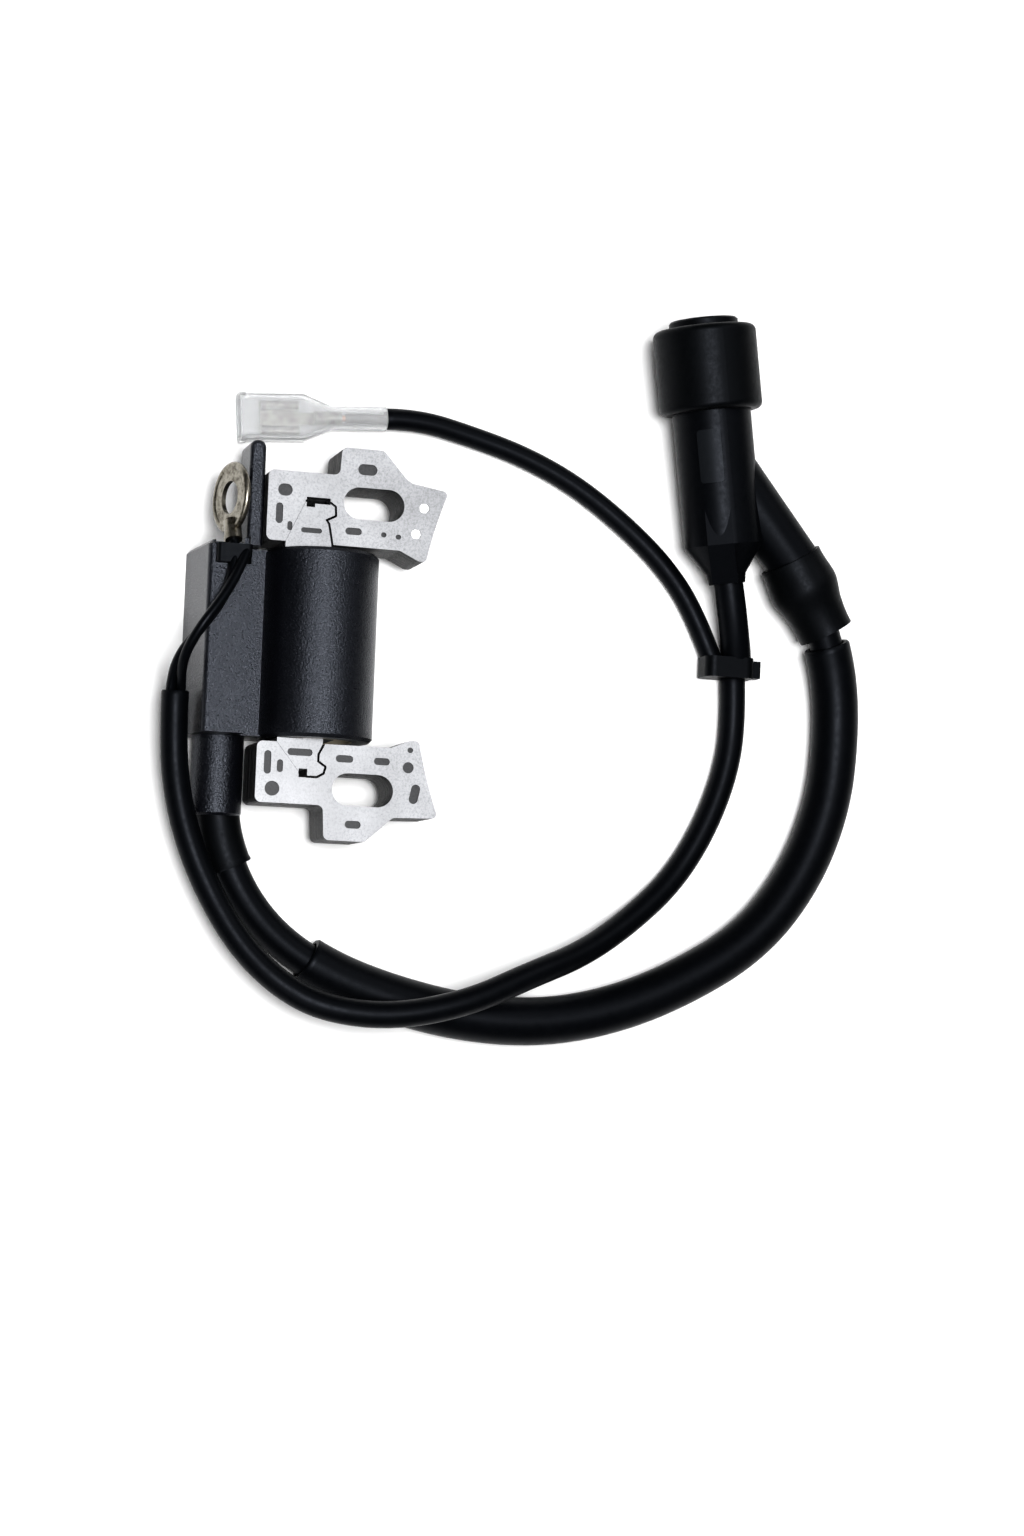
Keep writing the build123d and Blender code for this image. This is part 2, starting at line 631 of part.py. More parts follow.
# ---------------------------------------------------------------- plug cap
def heading(azimuth, dip):
    """Unit vector pointing azimuth degrees from +X toward +Y and dip degrees down."""
    level = cos(radians(dip))
    return Vector(level * cos(radians(azimuth)), level * sin(radians(azimuth)), -sin(radians(dip)))


cap_axis = heading(cap_azimuth, cap_dip)
entry_axis = heading(entry_azimuth, entry_dip)


cap_frame = Pos(*cap_center) * Rot(0, 0, cap_azimuth) * Rot(0, cap_dip, 0)


def on_cap(s):
    return Vector(*cap_center) + cap_axis * s


def on_entry(t):
    return Vector(*entry_base) + entry_axis * t


def turned(profile, start, axis, smooth=False):
    """Solid of revolution about an axis from (length, radius) pairs, joined by lines or a smooth curve."""
    ends = [(profile[-1][0], 0, profile[-1][1]), (profile[-1][0], 0, 0), (profile[0][0], 0, 0),
            (profile[0][0], 0, profile[0][1])]
    spots = [(s, 0, r) for s, r in profile]
    skirt = Spline(*spots) if smooth else Polyline(*spots)
    face = make_face(skirt + Polyline(*ends))
    body = revolve(face, Axis.X, 360)
    flat = hypot(axis.X, axis.Y)
    return Pos(*start) * Rot(0, 0, degrees(atan2(axis.Y, axis.X))) * Rot(
        0, degrees(atan2(-axis.Z, flat)), 0) * body


def cable_spike():
    """Bent contact from the resistor to the conductor of the lead."""
    bend = on_entry(9.5)
    spike = rod_between(on_cap(resistor_s1), on_cap(resistor_s1 + 0.8), 2.0)
    spike = spike + rod_between(on_cap(resistor_s1 + 0.8), bend, 0.8)
    lead_end = Vector(*lead_points[-1])
    run = (Vector(*lead_points[-2]) - lead_end).normalized()
    spike = spike + Pos(*bend) * Sphere(0.8)
    return spike + rod_between(bend, lead_end, 0.8) + rod_between(lead_end, lead_end + run * pin_reach, 0.8)


def plug_cap_body(lead_cut, stub_cut, spike):
    """Rigid body: socket for the plug, resistor bore, cable entry tube and tapered tail."""
    shell = turned([(cap_front, cap_r), (cap_shoulder, cap_r), (cap_tail - 2.0, cap_tail_r + 0.3),
                    (cap_tail, cap_tail_r)], cap_center, cap_axis)
    shell = shell + rod_between(entry_base, on_entry(entry_len), entry_r)
    blank = extrude(Pos(0.5, 0) * RectangleRounded(panel_len, panel_w, 0.8), cap_r + 2.0)
    panel = (Rot(panel_turn, 0, 0) * blank) & rod_x(cap_r + panel_t, -panel_len, panel_len, 0, 0)
    crest = [(rib_start, 0.0), (rib_start, rib_start_r), (cap_shoulder, rib_crest_r),
             (cap_tail, cap_tail_r + 0.8), (cap_tail, 0.0)]
    wedge = extrude(Plane.XZ * make_face(Polyline(*crest, close=True)), rib_half_w, both=True)
    rib = Rot(rib_turn, 0, 0) * wedge
    shell = shell + cap_frame * (panel + rib)
    shell = shell - turned([(cap_front - 1, plug_bore_r), (plug_seat, plug_bore_r)], cap_center, cap_axis)
    shell = shell - turned([(plug_seat - 1, plug_core_r), (plug_bore_end, plug_core_r)], cap_center, cap_axis)
    shell = shell - turned([(plug_bore_end - 1, resistor_r), (resistor_s1, resistor_r)], cap_center, cap_axis)
    return shell - lead_cut - stub_cut - spike


def plug_cap_seal():
    """Rubber head over the front of the cap, with a lip round its mouth."""
    outer = turned([(seal_front, seal_r), (seal_back, seal_r)], cap_center, cap_axis)
    outer = fillet(outer.edges().filter_by(GeomType.CIRCLE), seal_edge_r)
    lip_front = seal_front - lip_t
    lip = turned([(lip_front, lip_r - 0.4), (lip_front + 0.4, lip_r), (seal_front + 1, lip_r)],
                 cap_center, cap_axis)
    socket = turned([(cap_front, cap_r + slip), (seal_back + 1, cap_r + slip)], cap_center, cap_axis)
    mouth = turned([(seal_front - 5, plug_bore_r), (cap_front + 1, plug_bore_r)], cap_center, cap_axis)
    return outer + lip - socket - mouth


def cable_entry_boot(lead_cut):
    """Rubber boot where the lead enters the cap, wide at the cap and narrow at the lead."""
    knee = Vector(*lead_points[-2])
    run = (Vector(*lead_points[-3]) - knee).normalized()
    profile = [(0.0, boot_top_r - 0.3), (3.2, boot_top_r - 0.1), (7.0, boot_top_r + 0.25),
               (10.6, boot_top_r - 0.6), (13.6, boot_end_r + 0.1), (boot_len, boot_end_r)]
    body = turned(profile, knee + run * boot_at, run, smooth=True)
    tube = rod_between(on_entry(10.0), on_entry(entry_len), entry_r + slip)
    return body - tube - lead_cut


def suppressor_resistor():
    return turned([(resistor_s0, resistor_r - slip), (resistor_s1, resistor_r - slip)], cap_center, cap_axis)


def contact_spring():
    """Close-coiled spring between the clip and the resistor, drawn as its envelope tube."""
    length = resistor_s0 - clip_s1
    coils = 4
    helix = Helix(pitch=(length - 0.6) / coils, height=length - 0.6, radius=1.5)
    wire = sweep(Plane(helix @ 0, z_dir=helix % 0) * Circle(0.3), path=helix, is_frenet=True)
    return Location(Plane(on_cap(clip_s1 + 0.3), z_dir=cap_axis)) * wire


def plug_terminal_clip():
    """Brass cup that snaps over the terminal nut of the plug, its wall split by four slots."""
    cup = turned([(clip_s0, clip_r), (clip_s1, clip_r)], cap_center, cap_axis)
    inner_r = clip_r - clip_wall
    cup = cup - turned([(clip_s0 - 1, inner_r), (clip_s1 - 1.0, inner_r)], cap_center, cap_axis)
    flange = turned([(clip_s1 - 1.0, plug_core_r), (clip_s1, plug_core_r)], cap_center, cap_axis)
    for turn in (45, 135):
        cup = cup - cap_frame * Pos(clip_s0 + 2.5, 0, 0) * Rot(turn, 0, 0) * Box(7.0, 0.8, 12.0)
    return cup + flange


def clip_ring():
    """Wire ring that squeezes the fingers of the clip."""
    flat = turned([(clip_s0 + 1.0, clip_r + 0.7), (clip_s0 + 1.7, clip_r + 0.7)], cap_center, cap_axis)
    return flat - turned([(clip_s0, clip_r), (clip_s0 + 3, clip_r)], cap_center, cap_axis)


# ---------------------------------------------------------------- assembly
lead = route(lead_points)
kill_route = route(kill_points)
branch_route = route(branch_points)
stub_route = route(stub_points)
kill_side = offset_points(kill_points, wire_spread)
ground_side = offset_points(kill_points, -wire_spread)
strand_tip = spade_frame * Pos(strand_end, 0, 0)
kill_wire_points = (kill_exit + kill_side[:-1] + [(-30.0, 81.3, -2.7), (-33.1, 77.8, -3.2)]
                    + branch_points[1:-1] + [tuple(strand_tip.position)])
ground_wire_points = ground_exit + ground_side[:-1] + [(-30.4, 83.3, -2.55)] + stub_points[1:]
kill_wire_route = route(kill_wire_points)
ground_wire_route = route(ground_wire_points)

conductor_start = pin_reach
conductor_end = lead.length - pin_reach
lead_solid = swept(lead, lead_r)
lead_cut = swept(lead, lead_r + slip)
boot_path = part_of(lead, tower_boot_start, tower_boot_end)
boot_cut = swept(boot_path, tower_boot_r + slip)
lead_sleeve_path = part_of(lead, lead_sleeve_start, lead_sleeve_end)
conductor_path = part_of(lead, conductor_start, conductor_end)
spike = cable_spike()
pin = ht_contact_pin()
conductor_space = swept(lead, conductor_r)
kill_sleeve_cut = swept(kill_route, kill_sleeve_r + slip)
branch_cut = swept(branch_route, branch_r + slip)
stub_cut = swept(stub_route, stub_r + slip)
kill_wire = swept(kill_wire_route, wire_r)
ground_wire = swept(ground_wire_route, wire_r)

pieces = {
    "core_leg_wire_end": wire_end_leg(),
    "core_leg_tower_end": tower_end_leg(),
    "core_center_bar": center_bar(),
    "core_rivets": core_rivets(),
    "coil_housing": coil_housing(lead_cut, boot_cut) - pin,
    "primary_bobbin": primary_bobbin(),
    "primary_winding": primary_winding(),
    "secondary_bobbin": secondary_bobbin(),
    "secondary_winding": secondary_winding(),
    "ignition_circuit_board": ignition_circuit_board(),
    "power_transistor": power_transistor(),
    "storage_capacitor": storage_capacitor(),
    "trigger_resistor": trigger_resistor(),
    "ht_contact_pin": pin,
    "wire_clip_block": wire_clip_block([kill_wire, ground_wire]),
    "ring_terminal": ring_terminal(),
    "kill_wire": kill_wire,
    "ground_wire": ground_wire,
    "ht_tower_boot": swept(boot_path, tower_boot_r, lead_r + slip),
    "ht_lead_insulation": lead_solid - conductor_space,
    "ht_lead_conductor": swept(conductor_path, conductor_r),
    "ht_lead_sleeve": swept(lead_sleeve_path, lead_sleeve_r, lead_sleeve_bore_r),
    "kill_lead_sleeve": swept(kill_route, kill_sleeve_r, kill_sleeve_bore_r),
    "branch_lead_sleeve": swept(branch_route, branch_r, branch_bore_r),
    "cap_stub_tube": swept(stub_route, stub_r, stub_bore_r),
    "splitter_collar": splitter_collar([kill_sleeve_cut, branch_cut, stub_cut, kill_wire, ground_wire]),
    "spade_terminal": spade_terminal(),
    "spade_strands": spade_strands(),
    "spade_sleeve_clear": spade_sleeve_clear(),
    "plug_cap_body": plug_cap_body(lead_cut, stub_cut, spike),
    "plug_cap_seal": plug_cap_seal(),
    "cable_entry_boot": cable_entry_boot(lead_cut),
    "suppressor_resistor": suppressor_resistor(),
    "contact_spring": contact_spring(),
    "plug_terminal_clip": plug_terminal_clip(),
    "clip_ring": clip_ring(),
    "cable_spike": spike,
}
pieces["potting_epoxy"] = potting_epoxy([pieces[name] for name in (
    "secondary_bobbin", "secondary_winding", "ignition_circuit_board", "power_transistor",
    "storage_capacitor", "trigger_resistor", "ht_contact_pin")])

os.makedirs("parts", exist_ok=True)
for name, piece in pieces.items():
    solids = piece.solids()
    print(name, "solids", len(solids), "volume", round(piece.volume, 1))
    export_step(solids[0] if len(solids) == 1 else Compound(children=list(solids)), "parts/" + name + ".step")

for name, points in (("lead", lead_points), ("kill sleeve", kill_points),
                           ("branch", branch_points), ("stub", stub_points),
                           ("kill wire", kill_wire_points), ("ground wire", ground_wire_points)):
    radii = [round(radius, 1) for radius in bend_radii(points)]
    print(name, "length", round(route(points).length, 1), "radii", radii)
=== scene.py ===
"""Flywheel ignition coil of a small engine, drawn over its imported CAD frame."""

import math

import bmesh
import bpy
from mathutils import Matrix, Vector


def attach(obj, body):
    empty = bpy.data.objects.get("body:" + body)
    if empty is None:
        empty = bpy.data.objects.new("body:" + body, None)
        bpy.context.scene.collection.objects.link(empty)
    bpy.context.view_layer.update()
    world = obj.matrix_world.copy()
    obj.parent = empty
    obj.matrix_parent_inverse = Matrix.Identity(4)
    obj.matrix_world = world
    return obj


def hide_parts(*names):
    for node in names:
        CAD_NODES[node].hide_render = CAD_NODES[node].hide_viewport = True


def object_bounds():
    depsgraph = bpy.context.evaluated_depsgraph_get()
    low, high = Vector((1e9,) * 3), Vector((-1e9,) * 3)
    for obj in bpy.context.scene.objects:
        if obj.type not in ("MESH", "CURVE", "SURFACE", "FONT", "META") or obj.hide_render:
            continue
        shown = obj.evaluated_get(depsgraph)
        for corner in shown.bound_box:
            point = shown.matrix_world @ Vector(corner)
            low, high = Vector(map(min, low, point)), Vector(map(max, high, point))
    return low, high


bl_info = {
    "name": "Flywheel ignition coil",
    "version": (1, 0, 0),
    "blender": (4, 5, 0),
    "location": "3D View > Sidebar > Ignition Coil",
    "description": "Laminated core, potted coil, spark lead with plug cap, and kill lead of a small engine",
    "category": "Object",
}

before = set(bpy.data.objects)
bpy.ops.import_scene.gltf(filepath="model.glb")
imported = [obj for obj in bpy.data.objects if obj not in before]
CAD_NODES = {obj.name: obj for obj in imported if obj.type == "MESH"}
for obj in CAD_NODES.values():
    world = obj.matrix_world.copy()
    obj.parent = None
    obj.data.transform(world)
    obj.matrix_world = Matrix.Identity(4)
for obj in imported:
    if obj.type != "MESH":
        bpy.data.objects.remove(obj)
CAD_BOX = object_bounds()
BODY = "root"
MM = 0.001

# ---------------------------------------------------------------- routes, in mm
# They run as in the CAD, but some heights of the kill lead differ by up to 2 mm, and the two wires that
# leave the box are laid one above the other.
LEAD_POINTS = [
    (-5.5, -27.2, 0.6), (4.5, -27.2, 0.6), (14.5, -24.6, 0.4), (23.5, -19.6, 0.0), (31.0, -12.0, -0.5),
    (36.8, -1.5, -0.7), (41.0, 11.5, -0.7), (44.0, 26.0, -0.7), (44.6, 41.5, -0.7), (41.8, 56.5, -0.7),
    (35.8, 71.5, -0.7), (26.0, 87.5, -0.7), (12.5, 98.0, -0.7), (-3.0, 104.0, -0.7), (-18.0, 105.4, -0.7),
    (-30.8, 104.2, 0.4), (-42.0, 99.9, 2.3), (-55.3, 91.9, 3.0), (-64.8, 83.8, 3.8)]
KILL_POINTS = [
    (-18.0, -37.1, 6.0), (-8.0, -37.0, 5.2), (3.0, -35.4, 4.3), (13.5, -32.0, 4.0), (23.0, -27.3, 4.6),
    (31.5, -21.8, 6.0), (38.6, -14.5, 8.0), (43.2, -5.5, 9.6), (44.4, 8.5, 10.4), (41.0, 24.0, 10.4),
    (35.0, 37.0, 8.4), (30.2, 49.5, 3.5), (23.0, 60.8, -1.2), (14.2, 70.5, -2.9), (3.0, 77.3, -2.9),
    (-9.5, 81.8, -2.9), (-20.5, 83.0, -2.9), (-29.0, 82.4, -2.6)]
BRANCH_POINTS = [
    (-32.6, 78.0, -3.2), (-42.5, 73.8, -3.4), (-52.0, 66.7, -3.4), (-60.3, 57.0, -3.4),
    (-67.4, 46.4, -3.4), (-72.4, 35.2, -3.4), (-75.6, 23.5, -3.4), (-77.94, 12.0, -2.85),
    (-77.4, 5.2, -2.85)]
STUB_POINTS = [(-32.6, 82.9, -1.6), (-40.3, 80.6, 2.2), (-51.1, 78.3, 2.9)]
GROUND_EXIT = [
    (-51.0, -28.1, 10.6), (-43.6, -27.6, 13.5), (-36.0, -29.6, 14.4), (-29.2, -34.4, 14.8),
    (-24.0, -37.9, 10.6)]
KILL_EXIT = [
    (-46.0, -25.35, 13.0), (-42.0, -27.0, 15.2), (-35.8, -30.2, 16.4), (-29.2, -34.9, 16.6),
    (-23.4, -37.2, 12.4)]
KILL_BEND = [(-30.0, 81.3, -2.7), (-33.1, 77.8, -3.2)]
GROUND_BEND = [(-30.4, 83.3, -2.55)]
STRAND_TIP = (-76.732, -3.268, -2.85)
WIRE_SPREAD = 1.1

# ---------------------------------------------------------------- fixed sizes, in mm if not said otherwise
# (length along the lead, radius) of the boot at the tower, and where the loose sleeve starts and ends
TOWER_BOOT_PROFILE = [(6.8, 4.1), (7.4, 4.4), (17.0, 4.4), (20.8, 4.45), (21.6, 4.6), (21.9, 4.5)]
BOOT_SLIP = 0.05
LEAD_SLEEVE_SPAN = (46.5, 214.8)
LEAD_SLEEVE_LIP, LEAD_SLEEVE_CHAMFER = 0.35, 0.25
KILL_SLEEVE_LIP, KILL_SLEEVE_WALL = 0.3, 0.4
KILL_START_CHAMFER, KILL_END_CHAMFER = 0.2, 0.1
BRANCH_BORE_R, BRANCH_CHAMFER = 1.5, 0.15
STUB_R, STUB_BORE_R = 3.1, 1.8
BURR_WIDTH = 0.09
WELD = 2e-6             # metres, joins the split vertices of a CAD mesh
BACK_FACE_Z = 1e-5      # metres, everything above it isn't the back face

# painted shade: all steel lower than this height, such as the laminations under the front one, is darkened
# to 0.16 of its tone for the shade there; above the second height the front lamination keeps its full tone
BELOW_FRONT_Z, FRONT_Z = 11.75, 11.9

# the raised panel on the cap, in the cap's own directions; its painted sheen is a paler colour that stands
# for the light the panel reflects
CAP_CENTER = (-74.7, 74.4, 4.6)
CAP_TURN = (0.0, math.radians(4.0), math.radians(9.0))
PANEL_LENGTH, PANEL_MIDDLE = 12.0, 0.5
PANEL_RADIUS, PANEL_EDGE_Y = 8.36, -0.3
PANEL_SHEEN_COLOUR = "#17191c"

# camera and stage; the floor's half width and its drop are in metres, as are each light's place and side
CAMERA_PLACE = (41.78, -137.42, 584.4)
CAMERA_FORWARD = (-0.0802, 0.2807, -0.9565)
CAMERA_UP = (-0.9961, -0.0583, 0.0664)
CAMERA_LENS, CAMERA_SENSOR = 70.0, 36.0
FLOOR_HALF, FLOOR_DROP = 2.4, 0.02 * MM
LIGHT_TARGET = (-15, 35, 0)
LIGHTS = (  # name, place, side, watts
    ("overhead_softbox", (0.02, -0.06, 0.95), 0.34, 9.6),
    ("window_softbox", (-0.55, 0.60, 0.75), 0.60, 2.0),
    ("fill_softbox", (0.55, -0.35, 0.8), 0.60, 1.6))
ROOM_LIGHT = 0.05


# ---------------------------------------------------------------- sizes and colours a user would change
def mm_value(label, note, value):
    """A length property in millimetres."""
    return bpy.props.FloatProperty(name=label, description=note, default=value, min=0.0)


def colour_value(label, note, value):
    """A colour property kept as an sRGB hex string."""
    return bpy.props.StringProperty(name=label, description=note, default=value)


class CoilSizes(bpy.types.PropertyGroup):
    lead_diameter: mm_value("Spark lead", "Outer diameter of the spark lead, mm", 7.0)
    sleeve_diameter: mm_value("Spark lead sleeve", "Outer diameter of the loose sleeve, mm", 9.8)
    sleeve_wall: mm_value("Sleeve wall", "Wall of the loose sleeve, mm", 1.0)
    wire_diameter: mm_value("Wire", "Outer diameter of each low-voltage wire, mm", 2.0)
    kill_sleeve_diameter: mm_value("Kill lead sleeve", "Outer diameter of the kill lead's sleeve, mm", 5.4)
    branch_diameter: mm_value("Branch sleeve", "Outer diameter of the sleeve to the spade terminal, mm", 4.4)
    plate_thickness: mm_value("Lamination", "Thickness of one lamination, mm", 0.5)
    plate_gap: mm_value("Lamination gap", "Visible groove between laminations, mm", 0.07)
    plate_shift: mm_value("Lamination shift", "Sideways scatter of the laminations, mm", 0.03)
    stack: mm_value("Stack", "Thickness of the whole core, mm", 12.0)


class CoilFinishes(bpy.types.PropertyGroup):
    housing: colour_value("Housing", "Glass-filled nylon of the housing", "#08090d")
    rubber: colour_value("Rubber", "Moulded rubber of the cap head and boots", "#040506")
    phenolic: colour_value("Cap", "Phenolic moulding of the plug cap", "#040507")
    sleeve: colour_value("Sleeves", "Extruded PVC of the sleeves", "#040507")
    steel: colour_value("Core face", "Punched silicon steel", "#a3a4a7")
    # the near-black edge colour is partly the sheared edge's own tone and partly painted shade on the sides
    # of the stack
    steel_edge_and_painted_shade: colour_value("Core edge", "Sheared edge of the laminations", "#0d0d0e")
    tin: colour_value("Ring terminal", "Tarnished tin plate", "#908c82")
    clear: colour_value("Spade sleeve", "Milky clear PVC", "#fbfcfd")
    floor: colour_value("Floor", "Matte white sheet", "#ffffff")


# ---------------------------------------------------------------- small helpers
def linear(hex_colour):
    """sRGB hex to a linear RGBA tuple."""
    values = [int(hex_colour[i:i + 2], 16) / 255 for i in (1, 3, 5)]
    return tuple(v / 12.92 if v <= 0.04045 else ((v + 0.055) / 1.055) ** 2.4 for v in values) + (1.0,)


def metres(points):
    return [Vector(p) * MM for p in points]


def beside(points, side):
    """Control points of a line that runs beside another, side > 0 on its left seen from above."""
    moved = []
    for i, p in enumerate(points):
        here = Vector(p)
        ahead = Vector(points[min(i + 1, len(points) - 1)]) - here
        behind = here - Vector(points[max(i - 1, 0)])
        ahead = ahead if ahead.length > 0 else behind
        behind = behind if behind.length > 0 else ahead
        left_in = Vector((-behind.y, behind.x, 0)).normalized()
        left_out = Vector((-ahead.y, ahead.x, 0)).normalized()
        middle = (left_in + left_out).normalized()
        moved.append(tuple(here + middle * (side / middle.dot(left_in))))
    return moved


def link(obj):
    bpy.context.scene.collection.objects.link(obj)
    return obj


def paint(obj, material):
    obj.data.materials.clear()
    obj.data.materials.append(material)


def add_node(tree, kind, links=None, values=None, **settings):
    """Adds a node with its settings, its plain input values and its incoming links."""
    node = tree.nodes.new(kind)
    for key, value in settings.items():
        setattr(node, key, value)
    for key, value in (values or {}).items():
        node.inputs[key].default_value = value
    for key, socket in (links or {}).items():
        tree.links.new(socket, node.inputs[key])
    return node


def new_material(name):
    material = bpy.data.materials.new(name)
    material.use_nodes = True
    material.node_tree.nodes.clear()
    return material, material.node_tree


def finish_material(tree, shader):
    add_node(tree, "ShaderNodeOutputMaterial", links={"Surface": shader.outputs["BSDF"]})


def nurbs_curve(name, points, radius=0.0):
    """A smooth line through a route's control points, round in section when a radius is given."""
    curve = bpy.data.curves.new(name, "CURVE")
    curve.dimensions = "3D"
    spline = curve.splines.new("NURBS")
    spline.points.add(len(points) - 1)
    for point, place in zip(spline.points, metres(points)):
        point.co = (*place, 1.0)
    spline.order_u = 3
    spline.use_endpoint_u = True
    spline.resolution_u = 16
    curve.resolution_u = 16
    curve.bevel_depth = radius
    curve.bevel_resolution = 8
    curve.use_fill_caps = radius > 0
    return link(bpy.data.objects.new(name, curve))


def line_of(points):
    """The places along a route's smooth line."""
    guide = nurbs_curve("guide", points)
    bpy.context.view_layer.update()
    mesh = bpy.data.meshes.new_from_object(guide.evaluated_get(bpy.context.evaluated_depsgraph_get()))
    places = [v.co.copy() for v in mesh.vertices]
    bpy.data.objects.remove(guide)
    bpy.data.meshes.remove(mesh)
    return places


def measured(places):
    """Running length at each place."""
    total = [0.0]
    for a, b in zip(places, places[1:]):
        total.append(total[-1] + (b - a).length)
    return total


def place_at(places, total, s):
    """Place and direction at a length along a line."""
    s = min(max(s, 0.0), total[-1] - 1e-9)
    i = max(k for k in range(len(total) - 1) if total[k] <= s)
    step = total[i + 1] - total[i]
    t = (s - total[i]) / step if step > 0 else 0.0
    before = places[max(i - 1, 0)]
    after = places[min(i + 2, len(places) - 1)]
    return places[i].lerp(places[i + 1], t), (after - before).normalized()


def profile_radius(profile, s):
    for (s0, r0), (s1, r1) in zip(profile, profile[1:]):
        if s0 <= s <= s1:
            return r0 + (r1 - r0) * (s - s0) / max(s1 - s0, 1e-9)
    return profile[-1][1]


def tube(name, places, outer, bore, sides=40, step=0.0012):
    """Closed hollow tube along a line, in metres. outer is (length, radius) pairs, bore the inner radius."""
    total = measured(places)
    start, end = outer[0][0], outer[-1][0]
    cuts = set(s for s, r in outer)
    count = max(2, int((end - start) / step))
    cuts.update(start + (end - start) * i / count for i in range(count + 1))
    cuts = sorted(cuts)
    rings = [(s, profile_radius(outer, s)) for s in cuts]
    rings += [(s, bore) for s in reversed(cuts)]
    shell = bmesh.new()
    loops = []
    for s, radius in rings:
        center, along = place_at(places, total, s)
        up = (Vector((0, 0, 1)) - along * along.z).normalized()
        side = along.cross(up)
        loops.append([shell.verts.new(center + (up * math.cos(a) + side * math.sin(a)) * radius)
                      for a in (2 * math.pi * k / sides for k in range(sides))])
    for a, b in zip(loops, loops[1:] + loops[:1]):
        for k in range(sides):
            shell.faces.new((a[k], a[(k + 1) % sides], b[(k + 1) % sides], b[k]))
    bmesh.ops.recalc_face_normals(shell, faces=shell.faces)
    mesh = bpy.data.meshes.new(name)
    shell.to_mesh(mesh)
    shell.free()
    mesh.shade_smooth()
    mesh.set_sharp_from_angle(angle=math.radians(38))
    return link(bpy.data.objects.new(name, mesh))


def cad_copy(node):
    """A merged copy of a CAD node's mesh as a bmesh."""
    shape = bmesh.new()
    shape.from_mesh(CAD_NODES[node].data)
    bmesh.ops.remove_doubles(shape, verts=shape.verts, dist=WELD)
    return shape


def stand_for(obj, *nodes):
    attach(obj, BODY)
    if nodes:
        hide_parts(*nodes)


# ---------------------------------------------------------------- finishes
GLOSS_DRIFT = 0.35 * 0.4    # share by which the grain moves the roughness up and down


def moulded_black(name, colour, roughness, grain_mm, relief_mm, specular=0.5, lift=1.6):
    """Plastic or rubber: a fine grain breaks the highlight, the tone drifts over a few millimetres."""
    material, tree = new_material(name)
    coords = add_node(tree, "ShaderNodeTexCoord").outputs["Object"]
    drift = add_node(tree, "ShaderNodeTexNoise", links={"Vector": coords},
                     values={"Scale": 1 / (7 * MM), "Detail": 4.0, "Roughness": 0.6})
    grain = add_node(tree, "ShaderNodeTexNoise", links={"Vector": coords},
                     values={"Scale": 1 / (grain_mm * MM), "Detail": 3.0, "Roughness": 0.65})
    base = linear(colour)
    pale = tuple(min(1.0, c * lift) for c in base[:3]) + (1.0,)
    tint = add_node(tree, "ShaderNodeMix", data_type="RGBA", links={0: drift.outputs["Fac"]},
                    values={6: base, 7: pale})
    gloss = add_node(tree, "ShaderNodeMapRange", links={"Value": grain.outputs["Fac"]},
                     values={"From Min": 0.3, "From Max": 0.7, "To Min": roughness * (1 - GLOSS_DRIFT),
                             "To Max": min(1.0, roughness * (1 + GLOSS_DRIFT))})
    bump = add_node(tree, "ShaderNodeBump", links={"Height": grain.outputs["Fac"]},
                    values={"Strength": 1.0, "Distance": relief_mm * MM})
    shader = add_node(tree, "ShaderNodeBsdfPrincipled",
                      links={"Base Color": tint.outputs[2], "Roughness": gloss.outputs["Result"],
                             "Normal": bump.outputs["Normal"]},
                      values={"IOR": 1.5, "Specular IOR Level": specular,
                              "Specular Tint": linear("#dfe6f5")})
    finish_material(tree, shader)
    return material


